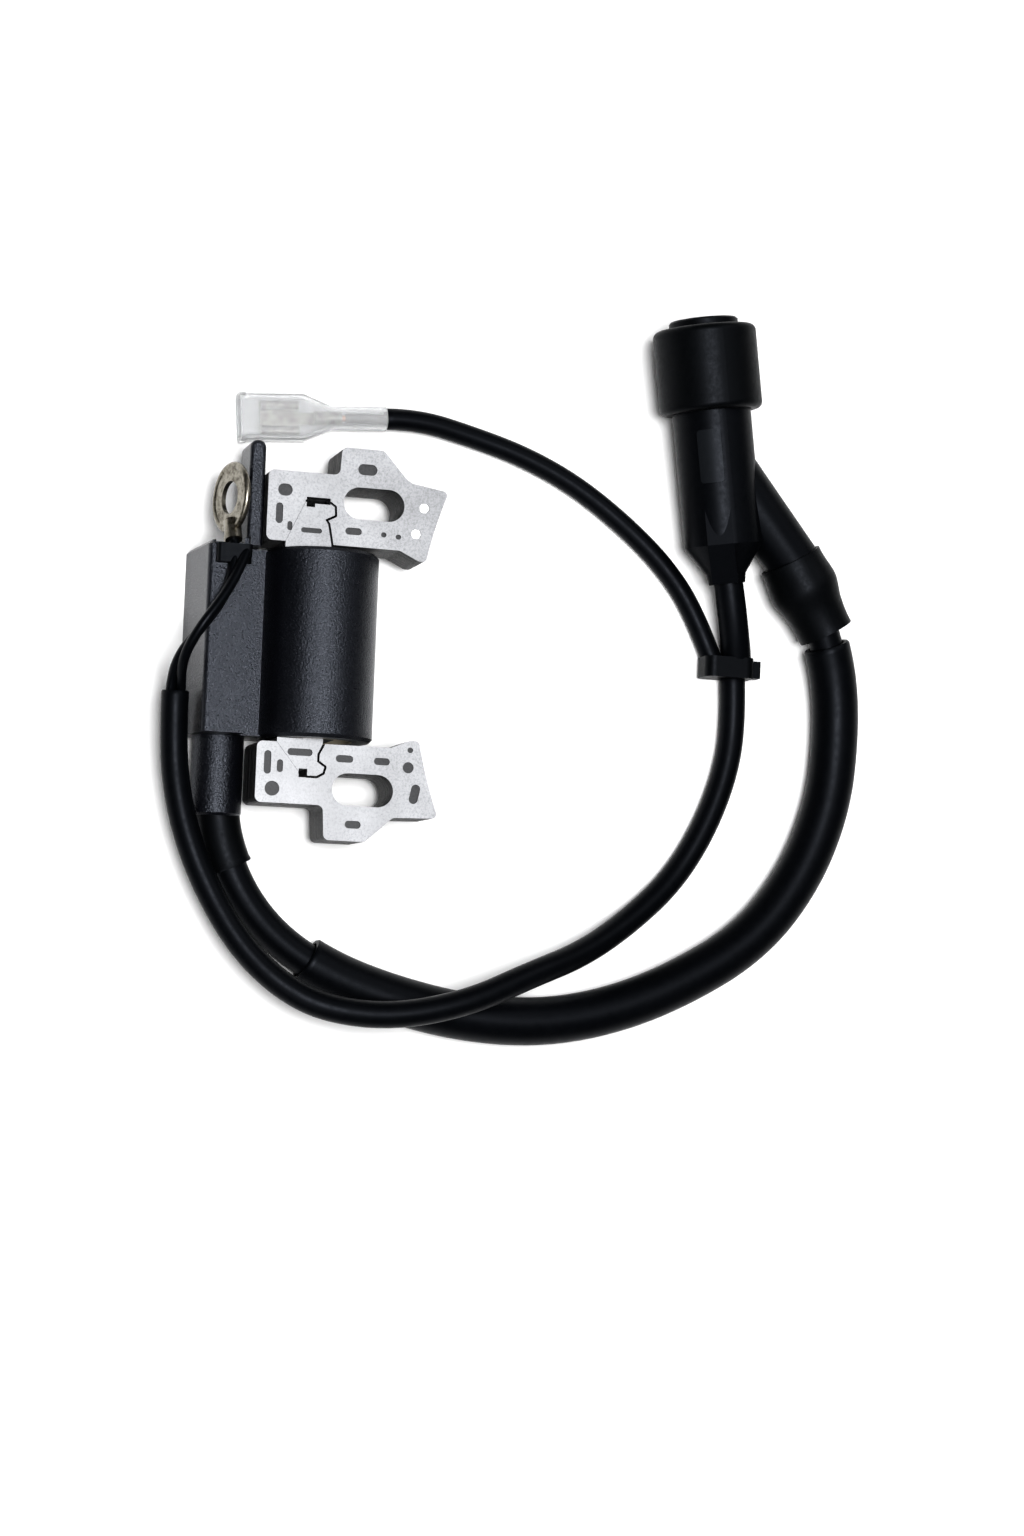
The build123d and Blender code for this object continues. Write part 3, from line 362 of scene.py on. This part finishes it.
def punched_steel(name, face, edge):
    """Punched silicon steel: a pale speckled rolled face, and sheared edges painted near black, partly their
    own tone, partly painted shade.
    """
    material, tree = new_material(name)
    coords = add_node(tree, "ShaderNodeTexCoord").outputs["Object"]
    speckle = add_node(tree, "ShaderNodeTexNoise", links={"Vector": coords},
                       values={"Scale": 1 / (0.45 * MM), "Detail": 6.0, "Roughness": 0.75})
    clouds = add_node(tree, "ShaderNodeTexNoise", links={"Vector": coords},
                      values={"Scale": 1 / (9 * MM), "Detail": 5.0, "Roughness": 0.6})
    ramp = add_node(tree, "ShaderNodeValToRGB", links={"Fac": speckle.outputs["Fac"]})
    pale = linear(face)
    ramp.color_ramp.elements[0].position = 0.30
    ramp.color_ramp.elements[0].color = tuple(c * 0.45 for c in pale[:3]) + (1.0,)
    ramp.color_ramp.elements[1].position = 0.58
    ramp.color_ramp.elements[1].color = pale
    cloud = add_node(tree, "ShaderNodeMapRange", links={"Value": clouds.outputs["Fac"]},
                     values={"From Min": 0.3, "From Max": 0.7, "To Min": 0.78, "To Max": 1.0})
    height = add_node(tree, "ShaderNodeSeparateXYZ", links={"Vector": coords})
    # painted shade: steel lower than the front lamination is darkened to 0.16, for the shade under the plate
    # above
    painted_shade_below_front = add_node(tree, "ShaderNodeMapRange", links={"Value": height.outputs["Z"]},
                      values={"From Min": BELOW_FRONT_Z * MM, "From Max": FRONT_Z * MM, "To Min": 0.16,
                              "To Max": 1.0})
    # the random cloud tone times the painted shade
    shade = add_node(tree, "ShaderNodeMath", operation="MULTIPLY",
                     links={0: cloud.outputs["Result"], 1: painted_shade_below_front.outputs["Result"]})
    toned = add_node(tree, "ShaderNodeMix", data_type="RGBA", blend_type="MULTIPLY",
                     links={6: ramp.outputs["Color"], 7: shade.outputs["Value"]}, values={0: 1.0})
    normal = add_node(tree, "ShaderNodeNewGeometry").outputs["Normal"]
    upward = add_node(tree, "ShaderNodeSeparateXYZ", links={"Vector": normal})
    level = add_node(tree, "ShaderNodeMath", operation="ABSOLUTE", links={0: upward.outputs["Z"]})
    is_face = add_node(tree, "ShaderNodeMapRange", links={"Value": level.outputs["Value"]},
                       values={"From Min": 0.5, "From Max": 0.8})
    # painted shade in part: faces that don't point up get the near-black edge colour, partly the edge's own
    # tone, partly the shade on the sides
    colour = add_node(tree, "ShaderNodeMix", data_type="RGBA",
                      links={0: is_face.outputs["Result"], 7: toned.outputs[2]}, values={6: linear(edge)})
    rough = add_node(tree, "ShaderNodeMapRange", links={"Value": speckle.outputs["Fac"]},
                     values={"From Min": 0.3, "From Max": 0.7, "To Min": 0.38, "To Max": 0.62})
    bump = add_node(tree, "ShaderNodeBump", links={"Height": speckle.outputs["Fac"]},
                    values={"Strength": 0.6, "Distance": 0.03 * MM})
    shader = add_node(tree, "ShaderNodeBsdfPrincipled",
                      links={"Base Color": colour.outputs[2], "Roughness": rough.outputs["Result"],
                             "Normal": bump.outputs["Normal"]},
                      values={"Metallic": 0.85})
    finish_material(tree, shader)
    return material


def plain_metal(name, colour, stain, roughness, grain_mm):
    """Plated or drawn metal with darker stains where the plating has dulled."""
    material, tree = new_material(name)
    coords = add_node(tree, "ShaderNodeTexCoord").outputs["Object"]
    patches = add_node(tree, "ShaderNodeTexNoise", links={"Vector": coords},
                       values={"Scale": 1 / (grain_mm * MM), "Detail": 6.0, "Roughness": 0.7})
    ramp = add_node(tree, "ShaderNodeValToRGB", links={"Fac": patches.outputs["Fac"]})
    ramp.color_ramp.elements[0].position = 0.36
    ramp.color_ramp.elements[0].color = linear(stain)
    ramp.color_ramp.elements[1].position = 0.56
    ramp.color_ramp.elements[1].color = linear(colour)
    rough = add_node(tree, "ShaderNodeMapRange", links={"Value": patches.outputs["Fac"]},
                     values={"From Min": 0.3, "From Max": 0.7, "To Min": roughness * 1.5,
                             "To Max": roughness})
    bump = add_node(tree, "ShaderNodeBump", links={"Height": patches.outputs["Fac"]},
                    values={"Strength": 0.5, "Distance": 0.05 * MM})
    shader = add_node(tree, "ShaderNodeBsdfPrincipled",
                      links={"Base Color": ramp.outputs["Color"], "Roughness": rough.outputs["Result"],
                             "Normal": bump.outputs["Normal"]}, values={"Metallic": 1.0})
    finish_material(tree, shader)
    return material


def milky_clear(name, colour):
    """Dip-moulded soft PVC: lets the brass terminal show as a pale blur, with faint flow marks."""
    material, tree = new_material(name)
    coords = add_node(tree, "ShaderNodeTexCoord").outputs["Object"]
    flow = add_node(tree, "ShaderNodeTexNoise", links={"Vector": coords},
                    values={"Scale": 1 / (5 * MM), "Detail": 2.0})
    rough = add_node(tree, "ShaderNodeMapRange", links={"Value": flow.outputs["Fac"]},
                     values={"From Min": 0.3, "From Max": 0.7, "To Min": 0.14, "To Max": 0.24})
    bump = add_node(tree, "ShaderNodeBump", links={"Height": flow.outputs["Fac"]},
                    values={"Strength": 0.3, "Distance": 0.08 * MM})
    shader = add_node(tree, "ShaderNodeBsdfPrincipled",
                      links={"Roughness": rough.outputs["Result"], "Normal": bump.outputs["Normal"]},
                      values={"Base Color": linear(colour), "IOR": 1.45, "Transmission Weight": 0.74})
    finish_material(tree, shader)
    return material


def matte_sheet(name, colour):
    """White seamless paper with a barely visible tooth."""
    material, tree = new_material(name)
    coords = add_node(tree, "ShaderNodeTexCoord").outputs["Object"]
    tooth = add_node(tree, "ShaderNodeTexNoise", links={"Vector": coords}, values={"Scale": 1 / (1.5 * MM)})
    bump = add_node(tree, "ShaderNodeBump", links={"Height": tooth.outputs["Fac"]},
                    values={"Strength": 0.1, "Distance": 0.01 * MM})
    shader = add_node(tree, "ShaderNodeBsdfPrincipled", links={"Normal": bump.outputs["Normal"]},
                      values={"Base Color": linear(colour), "Roughness": 0.9, "Specular IOR Level": 0.2})
    finish_material(tree, shader)
    return material


def paint_panel_sheen(material, centre, turn, length, radius, colour):
    """Painted sheen: the cap's raised panel is painted a touch paler than the glossy body round it, for the
    light it reflects.
    """
    tree = material.node_tree
    shader = next(n for n in tree.nodes if n.type == "BSDF_PRINCIPLED")
    coords = add_node(tree, "ShaderNodeTexCoord").outputs["Object"]
    local = add_node(tree, "ShaderNodeMapping", vector_type="TEXTURE", links={"Vector": coords},
                     values={"Location": centre, "Rotation": turn})
    parts = add_node(tree, "ShaderNodeSeparateXYZ", links={"Vector": local.outputs["Vector"]})
    across = add_node(tree, "ShaderNodeCombineXYZ", links={"Y": parts.outputs["Y"], "Z": parts.outputs["Z"]})
    reach = add_node(tree, "ShaderNodeVectorMath", operation="LENGTH", links={0: across.outputs["Vector"]})
    proud = add_node(tree, "ShaderNodeMath", operation="GREATER_THAN", links={0: reach.outputs["Value"]},
                     values={1: radius})
    along = add_node(tree, "ShaderNodeMath", operation="COMPARE", links={0: parts.outputs["X"]},
                     values={1: PANEL_MIDDLE * MM, 2: length / 2})
    beside_it = add_node(tree, "ShaderNodeMath", operation="LESS_THAN", links={0: parts.outputs["Y"]},
                         values={1: PANEL_EDGE_Y * MM})
    there = add_node(tree, "ShaderNodeMath", operation="MULTIPLY",
                     links={0: proud.outputs[0], 1: along.outputs[0]})
    mask = add_node(tree, "ShaderNodeMath", operation="MULTIPLY",
                    links={0: there.outputs[0], 1: beside_it.outputs[0]})
    plain = shader.inputs["Base Color"].links[0].from_socket
    # painted sheen: the paler colour laid over the panel's area
    both = add_node(tree, "ShaderNodeMix", data_type="RGBA", links={0: mask.outputs[0], 6: plain},
                    values={7: linear(colour)})
    tree.links.new(both.outputs[2], shader.inputs["Base Color"])
    return material


def cap_phenolic(name, colour):
    """The cap's phenolic moulding with a painted sheen on its raised panel."""
    material = moulded_black(name, colour, 0.42, 1.1, 0.008, specular=0.11)
    return paint_panel_sheen(material, Vector(CAP_CENTER) * MM, CAP_TURN, PANEL_LENGTH * MM, PANEL_RADIUS * MM,
                        PANEL_SHEEN_COLOUR)


MATERIALS = {}


def finish(name):
    """The material of that name, made when it is first asked for."""
    looks = bpy.context.scene.coil_finishes
    if name not in MATERIALS:
        makers = {
            "spark_eroded_nylon": lambda: moulded_black(name, looks.housing, 0.30, 0.42, 0.17),
            "moulded_rubber": lambda: (
                moulded_black(name, looks.rubber, 0.46, 0.9, 0.012, specular=0.11)),
            "moulded_phenolic": lambda: (
                moulded_black(name, looks.phenolic, 0.42, 1.1, 0.008, specular=0.11)),
            "cap_phenolic": lambda: cap_phenolic(name, looks.phenolic),
            "extruded_pvc": lambda: moulded_black(name, looks.sleeve, 0.42, 1.6, 0.008, specular=0.11),
            "wire_insulation_pvc": lambda: (
                moulded_black(name, looks.sleeve, 0.36, 0.8, 0.006, specular=0.12)),
            "cast_epoxy": lambda: moulded_black(name, "#1b1716", 0.22, 3.0, 0.05),
            "punched_silicon_steel": lambda: punched_steel(name, looks.steel, looks.steel_edge_and_painted_shade),
            "tarnished_tin_plate": lambda: plain_metal(name, looks.tin, "#4c463a", 0.28, 1.6),
            "ground_rivet_steel": lambda: plain_metal(name, "#d2d3d4", "#9a9b9c", 0.34, 0.7),
            "formed_brass": lambda: plain_metal(name, "#c8a35a", "#7d5a2a", 0.28, 1.2),
            "drawn_spring_wire": lambda: plain_metal(name, "#9a9a9c", "#5a5a5c", 0.3, 0.8),
            "enamelled_copper": lambda: plain_metal(name, "#b0602c", "#6e3212", 0.3, 0.5),
            "stranded_copper": lambda: plain_metal(name, "#c98552", "#7c4a28", 0.35, 0.4),
            "milky_clear_pvc": lambda: milky_clear(name, looks.clear),
            "natural_nylon": lambda: moulded_black(name, "#c9c0ab", 0.5, 0.9, 0.02, lift=1.1),
            "solder_mask_laminate": lambda: moulded_black(name, "#1d4a28", 0.35, 0.8, 0.01),
            "epoxy_dipped_film": lambda: moulded_black(name, "#8c3a14", 0.3, 1.0, 0.02),
            "glazed_ceramic": lambda: moulded_black(name, "#cfc6ad", 0.25, 1.0, 0.01, lift=1.1),
            "white_paper": lambda: matte_sheet(name, looks.floor),
        }
        MATERIALS[name] = makers[name]()
    return MATERIALS[name]


# ---------------------------------------------------------------- camera
class COIL_OT_camera(bpy.types.Operator):
    """Looks down on the coil from a little behind its left side"""
    bl_idname = "coil.camera"
    bl_label = "Camera"

    def execute(self, context):
        data = bpy.data.cameras.new("coil_camera")
        data.sensor_fit = "VERTICAL"
        data.sensor_height = CAMERA_SENSOR
        data.lens = CAMERA_LENS
        data.clip_start = 0.01
        data.clip_end = 10.0
        camera = link(bpy.data.objects.new("coil_camera", data))
        forward = Vector(CAMERA_FORWARD).normalized()
        right = forward.cross(Vector(CAMERA_UP)).normalized()
        up = right.cross(forward)
        turn = Matrix((right, up, -forward)).transposed().to_4x4()
        camera.matrix_world = Matrix.Translation(Vector(CAMERA_PLACE) * MM) @ turn
        context.scene.camera = camera
        return {"FINISHED"}


# ---------------------------------------------------------------- spark lead
class COIL_OT_spark_lead(bpy.types.Operator):
    """Spark lead with its tower boot and its loose outer sleeve"""
    bl_idname = "coil.spark_lead"
    bl_label = "Spark lead"

    def execute(self, context):
        sizes = context.scene.coil_sizes
        radius = sizes.lead_diameter / 2 * MM
        lead = nurbs_curve("spark_lead", LEAD_POINTS, radius)
        paint(lead, finish("extruded_pvc"))
        stand_for(lead, "ht_lead_insulation")
        places = line_of(LEAD_POINTS)

        boot = tube("tower_boot", places, [(s * MM, r * MM) for s, r in TOWER_BOOT_PROFILE],
                    radius + BOOT_SLIP * MM)
        paint(boot, finish("moulded_rubber"))
        stand_for(boot, "ht_tower_boot")

        outer = sizes.sleeve_diameter / 2 * MM
        start, end = (s * MM for s in LEAD_SLEEVE_SPAN)
        lip = LEAD_SLEEVE_LIP * MM
        mouth = outer - LEAD_SLEEVE_CHAMFER * MM
        sleeve = tube("spark_lead_sleeve", places, [
            (start, mouth), (start + lip, outer), (end - lip, outer), (end, mouth)],
            outer - sizes.sleeve_wall * MM)
        paint(sleeve, finish("extruded_pvc"))
        stand_for(sleeve, "ht_lead_sleeve")

        return {"FINISHED"}


# ---------------------------------------------------------------- kill lead
class COIL_OT_kill_lead(bpy.types.Operator):
    """Kill and ground wires, their shared sleeve, the branch sleeve and the stub into the cap"""
    bl_idname = "coil.kill_lead"
    bl_label = "Kill lead"

    def execute(self, context):
        sizes = context.scene.coil_sizes
        wire = sizes.wire_diameter * MM
        kill_points = (KILL_EXIT + beside(KILL_POINTS, WIRE_SPREAD)[:-1] + KILL_BEND
                       + BRANCH_POINTS[1:-1] + [STRAND_TIP])
        ground_points = GROUND_EXIT + beside(KILL_POINTS, -WIRE_SPREAD)[:-1] + GROUND_BEND + STUB_POINTS[1:]
        kill = nurbs_curve("kill_wire_insulation", kill_points, wire / 2)
        ground = nurbs_curve("ground_wire_insulation", ground_points, wire / 2)
        for cord, node in ((kill, "kill_wire"), (ground, "ground_wire")):
            paint(cord, finish("wire_insulation_pvc"))
            stand_for(cord, node)

        shared = line_of(KILL_POINTS)
        shared_length = measured(shared)[-1]
        outer = sizes.kill_sleeve_diameter / 2 * MM
        lip = KILL_SLEEVE_LIP * MM
        kill_sleeve = tube("kill_sleeve", shared, [
            (0.0, outer - KILL_START_CHAMFER * MM), (lip, outer), (shared_length - lip, outer),
            (shared_length, outer - KILL_END_CHAMFER * MM)], outer - KILL_SLEEVE_WALL * MM)
        branch = line_of(BRANCH_POINTS)
        branch_length = measured(branch)[-1]
        thin = sizes.branch_diameter / 2 * MM
        branch_sleeve = tube("branch_sleeve", branch, [
            (0.0, thin), (branch_length - lip, thin),
            (branch_length, thin - BRANCH_CHAMFER * MM)], BRANCH_BORE_R * MM)
        stub = line_of(STUB_POINTS)
        stub_length = measured(stub)[-1]
        stub_tube = tube("stub_tube", stub, [(0.0, STUB_R * MM), (stub_length, STUB_R * MM)],
                         STUB_BORE_R * MM)
        for piece, node in ((kill_sleeve, "kill_lead_sleeve"), (branch_sleeve, "branch_lead_sleeve"),
                            (stub_tube, "cap_stub_tube")):
            paint(piece, finish("extruded_pvc"))
            stand_for(piece, node)

        round(measured(line_of(kill_points))[-1], 4)
        round(measured(line_of(ground_points))[-1], 4)
        return {"FINISHED"}


# ---------------------------------------------------------------- core
def lamination_tree():
    """Geometry Nodes: one punched outline becomes a stack of loose-edged laminations."""
    tree = bpy.data.node_groups.new("lamination_stack", "GeometryNodeTree")
    face = tree.interface
    face.new_socket("Outline", in_out="INPUT", socket_type="NodeSocketGeometry")
    for label, kind, value in (
            ("Plates", "NodeSocketInt", 20), ("Pitch", "NodeSocketFloat", 0.0005),
            ("Groove", "NodeSocketFloat", 0.00005), ("Scatter", "NodeSocketFloat", 0.00003),
            ("Seed", "NodeSocketInt", 4)):
        face.new_socket(label, in_out="INPUT", socket_type=kind).default_value = value
    face.new_socket("Steel", in_out="INPUT", socket_type="NodeSocketMaterial")
    face.new_socket("Stack", in_out="OUTPUT", socket_type="NodeSocketGeometry")
    given = add_node(tree, "NodeGroupInput").outputs
    depth = add_node(tree, "ShaderNodeMath", operation="SUBTRACT",
                     links={0: given["Pitch"], 1: given["Groove"]})
    lift = add_node(tree, "ShaderNodeCombineXYZ", links={"Z": depth.outputs[0]})
    pulled = add_node(tree, "GeometryNodeExtrudeMesh", mode="FACES",
                      links={"Mesh": given["Outline"], "Offset": lift.outputs[0]},
                      values={"Individual": False, "Offset Scale": 1.0})
    under = add_node(tree, "GeometryNodeFlipFaces", links={"Mesh": given["Outline"]})
    plate = add_node(tree, "GeometryNodeJoinGeometry")
    tree.links.new(pulled.outputs["Mesh"], plate.inputs[0])
    tree.links.new(under.outputs[0], plate.inputs[0])
    welded = add_node(tree, "GeometryNodeMergeByDistance", links={"Geometry": plate.outputs[0]},
                      values={"Distance": 1e-6})
    rise = add_node(tree, "ShaderNodeCombineXYZ", links={"Z": given["Pitch"]})
    line = add_node(tree, "GeometryNodeMeshLine",
                    links={"Count": given["Plates"], "Offset": rise.outputs[0]})
    stacked = add_node(tree, "GeometryNodeInstanceOnPoints",
                       links={"Points": line.outputs[0], "Instance": welded.outputs[0]})
    low = add_node(tree, "ShaderNodeMath", operation="MULTIPLY", links={0: given["Scatter"]},
                   values={1: -1.0})
    least = add_node(tree, "ShaderNodeCombineXYZ", links={"X": low.outputs[0], "Y": low.outputs[0]})
    most = add_node(tree, "ShaderNodeCombineXYZ", links={"X": given["Scatter"], "Y": given["Scatter"]})
    jitter = add_node(tree, "FunctionNodeRandomValue", data_type="FLOAT_VECTOR",
                      links={0: least.outputs[0], 1: most.outputs[0], "Seed": given["Seed"]})
    moved = add_node(tree, "GeometryNodeTranslateInstances",
                     links={"Instances": stacked.outputs[0], "Translation": jitter.outputs[0]})
    real = add_node(tree, "GeometryNodeRealizeInstances", links={"Geometry": moved.outputs[0]})
    dressed = add_node(tree, "GeometryNodeSetMaterial",
                       links={"Geometry": real.outputs[0], "Material": given["Steel"]})
    add_node(tree, "NodeGroupOutput", links={0: dressed.outputs[0]})
    return tree


def baked(obj, name):
    """The evaluated result of an object's modifiers as a plain mesh object."""
    bpy.context.view_layer.update()
    mesh = bpy.data.meshes.new_from_object(obj.evaluated_get(bpy.context.evaluated_depsgraph_get()))
    mesh.name = name
    bpy.data.objects.remove(obj)
    return link(bpy.data.objects.new(name, mesh))


class COIL_OT_core(bpy.types.Operator):
    """Both legs and the center bar as stacks of punched laminations"""
    bl_idname = "coil.core"
    bl_label = "Laminated core"

    def execute(self, context):
        sizes = context.scene.coil_sizes
        tree = lamination_tree()
        sockets = {s.name: s.identifier for s in tree.interface.items_tree if s.in_out == "INPUT"}
        pitch = sizes.plate_thickness * MM
        plates = round(sizes.stack / sizes.plate_thickness)
        for seed, node in enumerate(("core_leg_wire_end", "core_leg_tower_end", "core_center_bar")):
            outline = cad_copy(node)
            bmesh.ops.delete(outline, context="FACES", geom=[
                f for f in outline.faces if any(v.co.z > BACK_FACE_Z for v in f.verts)])
            bmesh.ops.reverse_faces(outline, faces=outline.faces)
            flat = bpy.data.meshes.new(node + "_outline")
            outline.to_mesh(flat)
            outline.free()
            stack = link(bpy.data.objects.new(node + "_stack", flat))
            modifier = stack.modifiers.new("laminations", "NODES")
            modifier.node_group = tree
            modifier[sockets["Plates"]] = plates - 1
            modifier[sockets["Pitch"]] = pitch
            modifier[sockets["Groove"]] = sizes.plate_gap * MM
            modifier[sockets["Scatter"]] = sizes.plate_shift * MM
            modifier[sockets["Seed"]] = seed
            modifier[sockets["Steel"]] = finish("punched_silicon_steel")
            stack = baked(stack, node + "_laminations")

            front_z = (sizes.stack - sizes.plate_thickness) * MM
            front = cad_copy(node)
            geometry = front.verts[:] + front.edges[:] + front.faces[:]
            bmesh.ops.bisect_plane(front, geom=geometry, plane_co=(0, 0, front_z), plane_no=(0, 0, 1),
                                   clear_inner=True)
            rim = [e for e in front.edges if e.is_boundary]
            bmesh.ops.triangle_fill(front, use_beauty=True, edges=rim)
            bmesh.ops.dissolve_limit(front, angle_limit=math.radians(1.0), verts=front.verts,
                                     edges=front.edges)
            bmesh.ops.recalc_face_normals(front, faces=front.faces)
            mesh = bpy.data.meshes.new(node + "_front")
            front.to_mesh(mesh)
            front.free()
            top = link(bpy.data.objects.new(node + "_front", mesh))
            bevel = top.modifiers.new("punching_burr", "BEVEL")
            bevel.width = BURR_WIDTH * MM
            bevel.segments = 2
            bevel.limit_method = "ANGLE"
            bevel.angle_limit = math.radians(50)
            bevel.use_clamp_overlap = True
            top = baked(top, node + "_front_lamination")
            for piece in (stack, top):
                paint(piece, finish("punched_silicon_steel"))
                stand_for(piece, node)
        paint(CAD_NODES["core_rivets"], finish("ground_rivet_steel"))
        return {"FINISHED"}


# ---------------------------------------------------------------- pieces kept from the CAD
class COIL_OT_housing(bpy.types.Operator):
    """Spark-eroded housing, potting resin and the wire grommet"""
    bl_idname = "coil.housing"
    bl_label = "Housing"

    def execute(self, context):
        paint(CAD_NODES["coil_housing"], finish("spark_eroded_nylon"))
        paint(CAD_NODES["potting_epoxy"], finish("cast_epoxy"))
        paint(CAD_NODES["wire_clip_block"], finish("moulded_rubber"))
        return {"FINISHED"}


class COIL_OT_terminals(bpy.types.Operator):
    """Ring terminal, spade terminal and the clear sleeve over it"""
    bl_idname = "coil.terminals"
    bl_label = "Terminals"

    def execute(self, context):
        paint(CAD_NODES["ring_terminal"], finish("tarnished_tin_plate"))
        paint(CAD_NODES["spade_terminal"], finish("tarnished_tin_plate"))
        paint(CAD_NODES["spade_strands"], finish("stranded_copper"))
        paint(CAD_NODES["spade_sleeve_clear"], finish("milky_clear_pvc"))
        return {"FINISHED"}


class COIL_OT_plug_cap(bpy.types.Operator):
    """Plug cap with its rubber head, cable boot, collar and inner contacts"""
    bl_idname = "coil.plug_cap"
    bl_label = "Plug cap"

    def execute(self, context):
        for node, look in (
                ("plug_cap_body", "cap_phenolic"), ("plug_cap_seal", "moulded_rubber"),
                ("cable_entry_boot", "moulded_rubber"), ("splitter_collar", "moulded_rubber"),
                ("suppressor_resistor", "glazed_ceramic"), ("contact_spring", "drawn_spring_wire"),
                ("plug_terminal_clip", "formed_brass"), ("clip_ring", "drawn_spring_wire"),
                ("cable_spike", "formed_brass")):
            paint(CAD_NODES[node], finish(look))
        return {"FINISHED"}


class COIL_OT_inner_pieces(bpy.types.Operator):
    """Windings, bobbins and circuit inside the potted housing"""
    bl_idname = "coil.inner_pieces"
    bl_label = "Inner pieces"

    def execute(self, context):
        for node, look in (
                ("primary_bobbin", "natural_nylon"), ("secondary_bobbin", "natural_nylon"),
                ("primary_winding", "enamelled_copper"), ("secondary_winding", "enamelled_copper"),
                ("ignition_circuit_board", "solder_mask_laminate"), ("power_transistor", "moulded_phenolic"),
                ("storage_capacitor", "epoxy_dipped_film"), ("trigger_resistor", "glazed_ceramic"),
                ("ht_contact_pin", "formed_brass"), ("ht_lead_conductor", "stranded_copper")):
            paint(CAD_NODES[node], finish(look))
        return {"FINISHED"}


# ---------------------------------------------------------------- stage
class COIL_OT_stage(bpy.types.Operator):
    """White sheet under the coil and three soft lights"""
    bl_idname = "coil.stage"
    bl_label = "Stage"

    def execute(self, context):
        half = FLOOR_HALF
        floor_z = CAD_BOX[0][2] - FLOOR_DROP
        mesh = bpy.data.meshes.new("white_sheet")
        mesh.from_pydata([(-half, -half, floor_z), (half, -half, floor_z), (half, half, floor_z),
                          (-half, half, floor_z)], [], [(0, 1, 2, 3)])
        sheet = link(bpy.data.objects.new("white_sheet", mesh))
        paint(sheet, finish("white_paper"))
        target = Vector(LIGHT_TARGET) * MM
        for name, place, size, power in LIGHTS:
            data = bpy.data.lights.new(name, "AREA")
            data.shape = "SQUARE"
            data.size = size
            data.energy = power
            light = link(bpy.data.objects.new(name, data))
            light.location = place
            light.rotation_euler = (target - Vector(place)).to_track_quat("-Z", "Y").to_euler()
        world = bpy.data.worlds.new("studio_room")
        world.use_nodes = True
        background = world.node_tree.nodes["Background"]
        background.inputs["Color"].default_value = (1.0, 1.0, 1.0, 1.0)
        background.inputs["Strength"].default_value = ROOM_LIGHT
        context.scene.world = world
        context.scene.view_settings.view_transform = "Standard"
        context.scene.view_settings.look = "Medium High Contrast"
        context.scene.view_settings.exposure = 0.0
        return {"FINISHED"}


STEPS = (COIL_OT_camera, COIL_OT_spark_lead, COIL_OT_kill_lead, COIL_OT_core, COIL_OT_housing,
         COIL_OT_terminals, COIL_OT_plug_cap, COIL_OT_inner_pieces, COIL_OT_stage)


class COIL_PT_sidebar(bpy.types.Panel):
    """Lists the pieces of the ignition coil"""
    bl_idname = "COIL_PT_sidebar"
    bl_label = "Ignition Coil"
    bl_space_type = "VIEW_3D"
    bl_region_type = "UI"
    bl_category = "Ignition Coil"

    def draw(self, context):
        for step in STEPS:
            self.layout.operator(step.bl_idname)
        for group in (context.scene.coil_sizes, context.scene.coil_finishes):
            for key in group.__annotations__:
                self.layout.prop(group, key)


CLASSES = (CoilSizes, CoilFinishes) + STEPS + (COIL_PT_sidebar,)


def register():
    for cls in CLASSES:
        bpy.utils.register_class(cls)
    bpy.types.Scene.coil_sizes = bpy.props.PointerProperty(type=CoilSizes)
    bpy.types.Scene.coil_finishes = bpy.props.PointerProperty(type=CoilFinishes)


def unregister():
    del bpy.types.Scene.coil_finishes
    del bpy.types.Scene.coil_sizes
    for cls in reversed(CLASSES):
        bpy.utils.unregister_class(cls)


def main():
    register()
    for step in STEPS:
        group, operator = step.bl_idname.split(".")
        getattr(getattr(bpy.ops, group), operator)()


if __name__ == "__main__":
    main()
